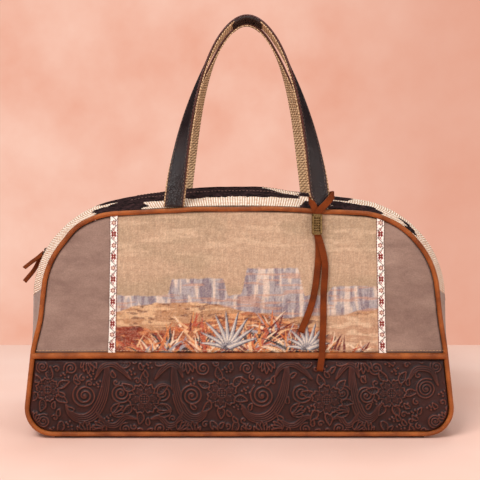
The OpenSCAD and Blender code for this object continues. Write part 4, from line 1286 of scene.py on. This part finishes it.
# ---- tassel on the right foot
# Route of the loop: across, up, out, and the turn of the lace about its length in degrees
LOOP = [(91.7, 262.2, 4.5, 0), (91.5, 273.7, 4.5, 0), (89.6, 280.5, 4.6, 0), (87.5, 285.5, 3.4, 30),
        (84, 289, -1.8, 90), (85.4, 290.6, -7.6, 150), (98, 292.8, -8.2, 180), (108.6, 296.2, -8.2, 195),
        (112.8, 297, -3, 270), (110.4, 294.2, 2.6, 335), (103, 286, 5.6, 360), (96.5, 279.4, 6.2, 360),
        (93.6, 273.7, 6.2, 360), (93.3, 262.2, 6.2, 360)]
path = smooth_path(LOOP, 6)
places = face_point(path[:, 0], path[:, 1], path[:, 2])
turns = np.radians(path[:, 3])
faces = face_point(-np.sin(turns), 0, np.cos(turns)) - face_point(0, 0, 0)
along = unit(np.gradient(places, axis=0))
across = unit(np.cross(along, faces))
loop = strand_through(places, across, unit(np.cross(across, along)),
                      flat_section(TASSEL_W, *LACE_SECTION))
finish_piece(loop, "tassel_loop", LACE_SUEDE, "bag", ["lace_loop"])
BEAD_X, BEAD_S, BEAD_OUT = 92.5, 249.2, 2.6


def bead_piece():
    """Cast bead: a rounded plate with a raised rim round a field of small pyramids."""
    w, h, t = 12.4, 25.0, 6.4
    bm = bmesh.new()
    bmesh.ops.create_cube(bm, size=1)
    bmesh.ops.scale(bm, vec=(w, h, t), verts=bm.verts)
    tall = [e for e in bm.edges if abs(e.verts[0].co.z - e.verts[1].co.z) > t / 2]
    bmesh.ops.bevel(bm, geom=tall, offset=2.2, segments=5, profile=0.5, affect="EDGES", material=-1)
    lids = [f for f in bm.faces if abs(f.normal.z) > 0.9]
    rims = list({e for f in lids for e in f.edges})
    bmesh.ops.bevel(bm, geom=rims, offset=0.8, segments=3, profile=0.5, affect="EDGES", material=-1)
    front = max((f for f in bm.faces if f.normal.z > 0.9), key=lambda f: f.calc_area())
    bmesh.ops.inset_region(bm, faces=[front], thickness=1.3, depth=0)
    bmesh.ops.inset_region(bm, faces=[front], thickness=0.5, depth=-0.7)
    for i in range(3):
        for j in range(6):
            at = ((i - 1) * 2.5, (j - 2.5) * 3.0, t / 2 - 0.75)
            turn = Matrix.Translation(at) @ Matrix.Rotation(math.radians(45), 4, "Z")
            bmesh.ops.create_cone(bm, cap_ends=True, segments=4, radius1=1.5, radius2=0.35, depth=1.1,
                                  matrix=turn @ Matrix.Translation((0, 0, 0.5)))
    for v in bm.verts:
        p = face_point(BEAD_X + v.co.x, BEAD_S + h / 2 + v.co.y, BEAD_OUT + t / 2 + v.co.z)
        v.co = Vector(p) * MM
    # The larger flat faces, its rim and back, are worn bright
    bead = finish_piece(bm, "brass_bead", BRASS, "bag", ["lace_bead"], smooth=False)
    bead.data.materials.append(WORN_BRASS)
    for face in bead.data.polygons:
        face.material_index = int(abs(face.normal.dot(Vector(FACE_OUT))) > 0.97 and face.area > 2.5e-6)


bead_piece()


# ---- stitches on the front and back
def stitched(name, xs, ss, side, lift, *stitch):
    """Row of stitches on the front or back, lifted off its cloth."""
    line = face_point(xs, ss, puff(xs, ss) + lift, side)
    out = face_point(0, 0, 1, side) - face_point(0, 0, 0, side)
    stitch_row(name, line, np.broadcast_to(out, line.shape), *stitch, "bag")


BRAID_ROW = 4.3
for side, tag in HALVES:
    xs = np.linspace(-250.5, 250.5, 300)
    stitched(f"{tag}_band_stitches", xs, np.full(300, 108.4), side, 0.5, 3.9, 3.2, 1.1, TAN_THREAD)
    for hand, word in HANDS:
        ss = np.linspace(106.5, 275 - (163 if hand < 0 else 176) ** 2 / 3800, 120)
        for tone, way, thick, thread in (("red", -1, 0.8, RED_THREAD), ("brown", 1, 0.7, BROWN_THREAD)):
            xs = ribbon_x(hand, ss) + way * hand * BRAID_ROW
            stitched(f"{tag}_{word}_{tone}_stitches", xs, ss, side, 0.95, 3.4, 2.5, thick, thread)

# ---- nodes that stay
for material, nodes in ((BASE_LEATHER, ["base_panel"]), (BOARD, ["base_board"]),
                        (TAPE_CLOTH, ["zip_tape_front", "zip_tape_back"]),
                        (TEETH_METAL, ["zip_teeth_front", "zip_teeth_back"]),
                        (TAB_LEATHER, ["zip_tab_left", "zip_tab_right"]),
                        (GUNMETAL, ["left_slider", "left_pull_ring"]),
                        (BRASS, ["right_slider", "right_puller"])):
    for node in nodes:
        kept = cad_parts[node].data.materials
        kept.clear()
        kept.append(material)

# A row of stitches runs along each half of the zip gusset, where its facing is sewn down
FACING_V = np.array([30 / 88])
for sign, tag in HALVES:
    (places, u), (under, _) = (crown_rows(sign, FACING_V, off) for off in (CLOTH_HALF, -CLOTH_HALF))
    normals = unit(places - under)
    places = places + (crease(places, u, 20 + sign)[..., None] + 0.25) * normals
    sewn = (places[:, 0, 0] > -140) & (places[:, 0, 0] < 92)
    stitch_row(f"{tag}_gusset_stitches", places[sewn, 0], normals[sewn, 0], 4.4, 3.2, 1.0, FACING_THREAD,
               "bag")

# ---- floor, background and light
floor_mesh = bmesh.new()
bmesh.ops.create_grid(floor_mesh, x_segments=1, y_segments=1, size=1)
FLOOR_HALF, FLOOR_END = (4, 2.2), 0.39
bmesh.ops.scale(floor_mesh, vec=(*FLOOR_HALF, 1), verts=floor_mesh.verts)
bmesh.ops.translate(floor_mesh, vec=(0, FLOOR_END - FLOOR_HALF[1], 0), verts=floor_mesh.verts)
pink, tree = start_material("pale_pink_floor", Roughness=0.6)
uneven = spread(tree, speckle(tree, places_of(tree), 3, 3), 0.35, 0.65)
shade = blend_colours(tree, uneven, "#EFC2B0", "#F5D0C1")
tree.links.new(shade, tree.nodes["surface"].inputs["Base Color"])
finish_piece(floor_mesh, "floor", pink, smooth=False)

world = bpy.data.worlds.new("studio")
bpy.context.scene.world = world
world.use_nodes = True
tree = world.node_tree
tree.nodes.clear()
# A mottled pink wall, darker to the right. Mirrored rays see a dim room, and all others an even glow
way = add(tree, "TexCoord").outputs["Generated"]
mottle = speckle(tree, way, 9, 5, 0.55)
wall = blend_colours(tree, spread(tree, mottle, 0.3, 0.72), "#EFAB92", "#FDCDB9")
across, _, up = add(tree, "SeparateXYZ", {0: way}).outputs
wall = blend_colours(tree, spread(tree, across, 0.02, 0.2, 0, 0.6), wall, "#DE9A82")
room = blend_colours(tree, spread(tree, up, 0.05, 0.5), "#3E2C28", "#8A8790")
glow, mirrored, seen = (add(tree, "Background", {"Color": colour, "Strength": strength}).outputs[0]
                        for colour, strength in ((colour_of("#FFF1E8"), 0.38), (room, 0.6), (wall, 1.0)))
rays = add(tree, "LightPath").outputs
lit = add(tree, "MixShader", {0: rays["Is Glossy Ray"], 1: glow, 2: mirrored}).outputs[0]
both = add(tree, "MixShader", {0: rays["Is Camera Ray"], 1: lit, 2: seen})
add(tree, "OutputWorld", {"Surface": both.outputs[0]})


def softbox(name, at, aim, size, power, tint="#FFFFFF"):
    lamp = bpy.data.lights.new(name, "AREA")
    lamp.shape = "RECTANGLE"
    lamp.size, lamp.size_y = size
    lamp.energy = power
    lamp.color = colour_of(tint)[:3]
    box = new_object(name, lamp)
    box.location = at
    box.rotation_euler = (Vector(aim) - Vector(at)).to_track_quat("-Z", "Y").to_euler()


softbox("key_softbox", (-1.0, -1.5, 2.3), (0, 0, 0.2), (1.2, 1.2), 60)
softbox("fill_softbox", (1.9, -1.7, 0.9), (0, 0, 0.2), (1.4, 1.4), 21)
softbox("side_softbox", (-1.4, -0.8, 0.3), (-0.1, 0, 0.4), (0.5, 0.8), 2.4, "#D5DFF6")
softbox("top_softbox", (0.2, 0.5, 2.2), (0, 0, 0.2), (1.4, 1.4), 16)

bpy.context.scene.view_settings.view_transform = "Standard"
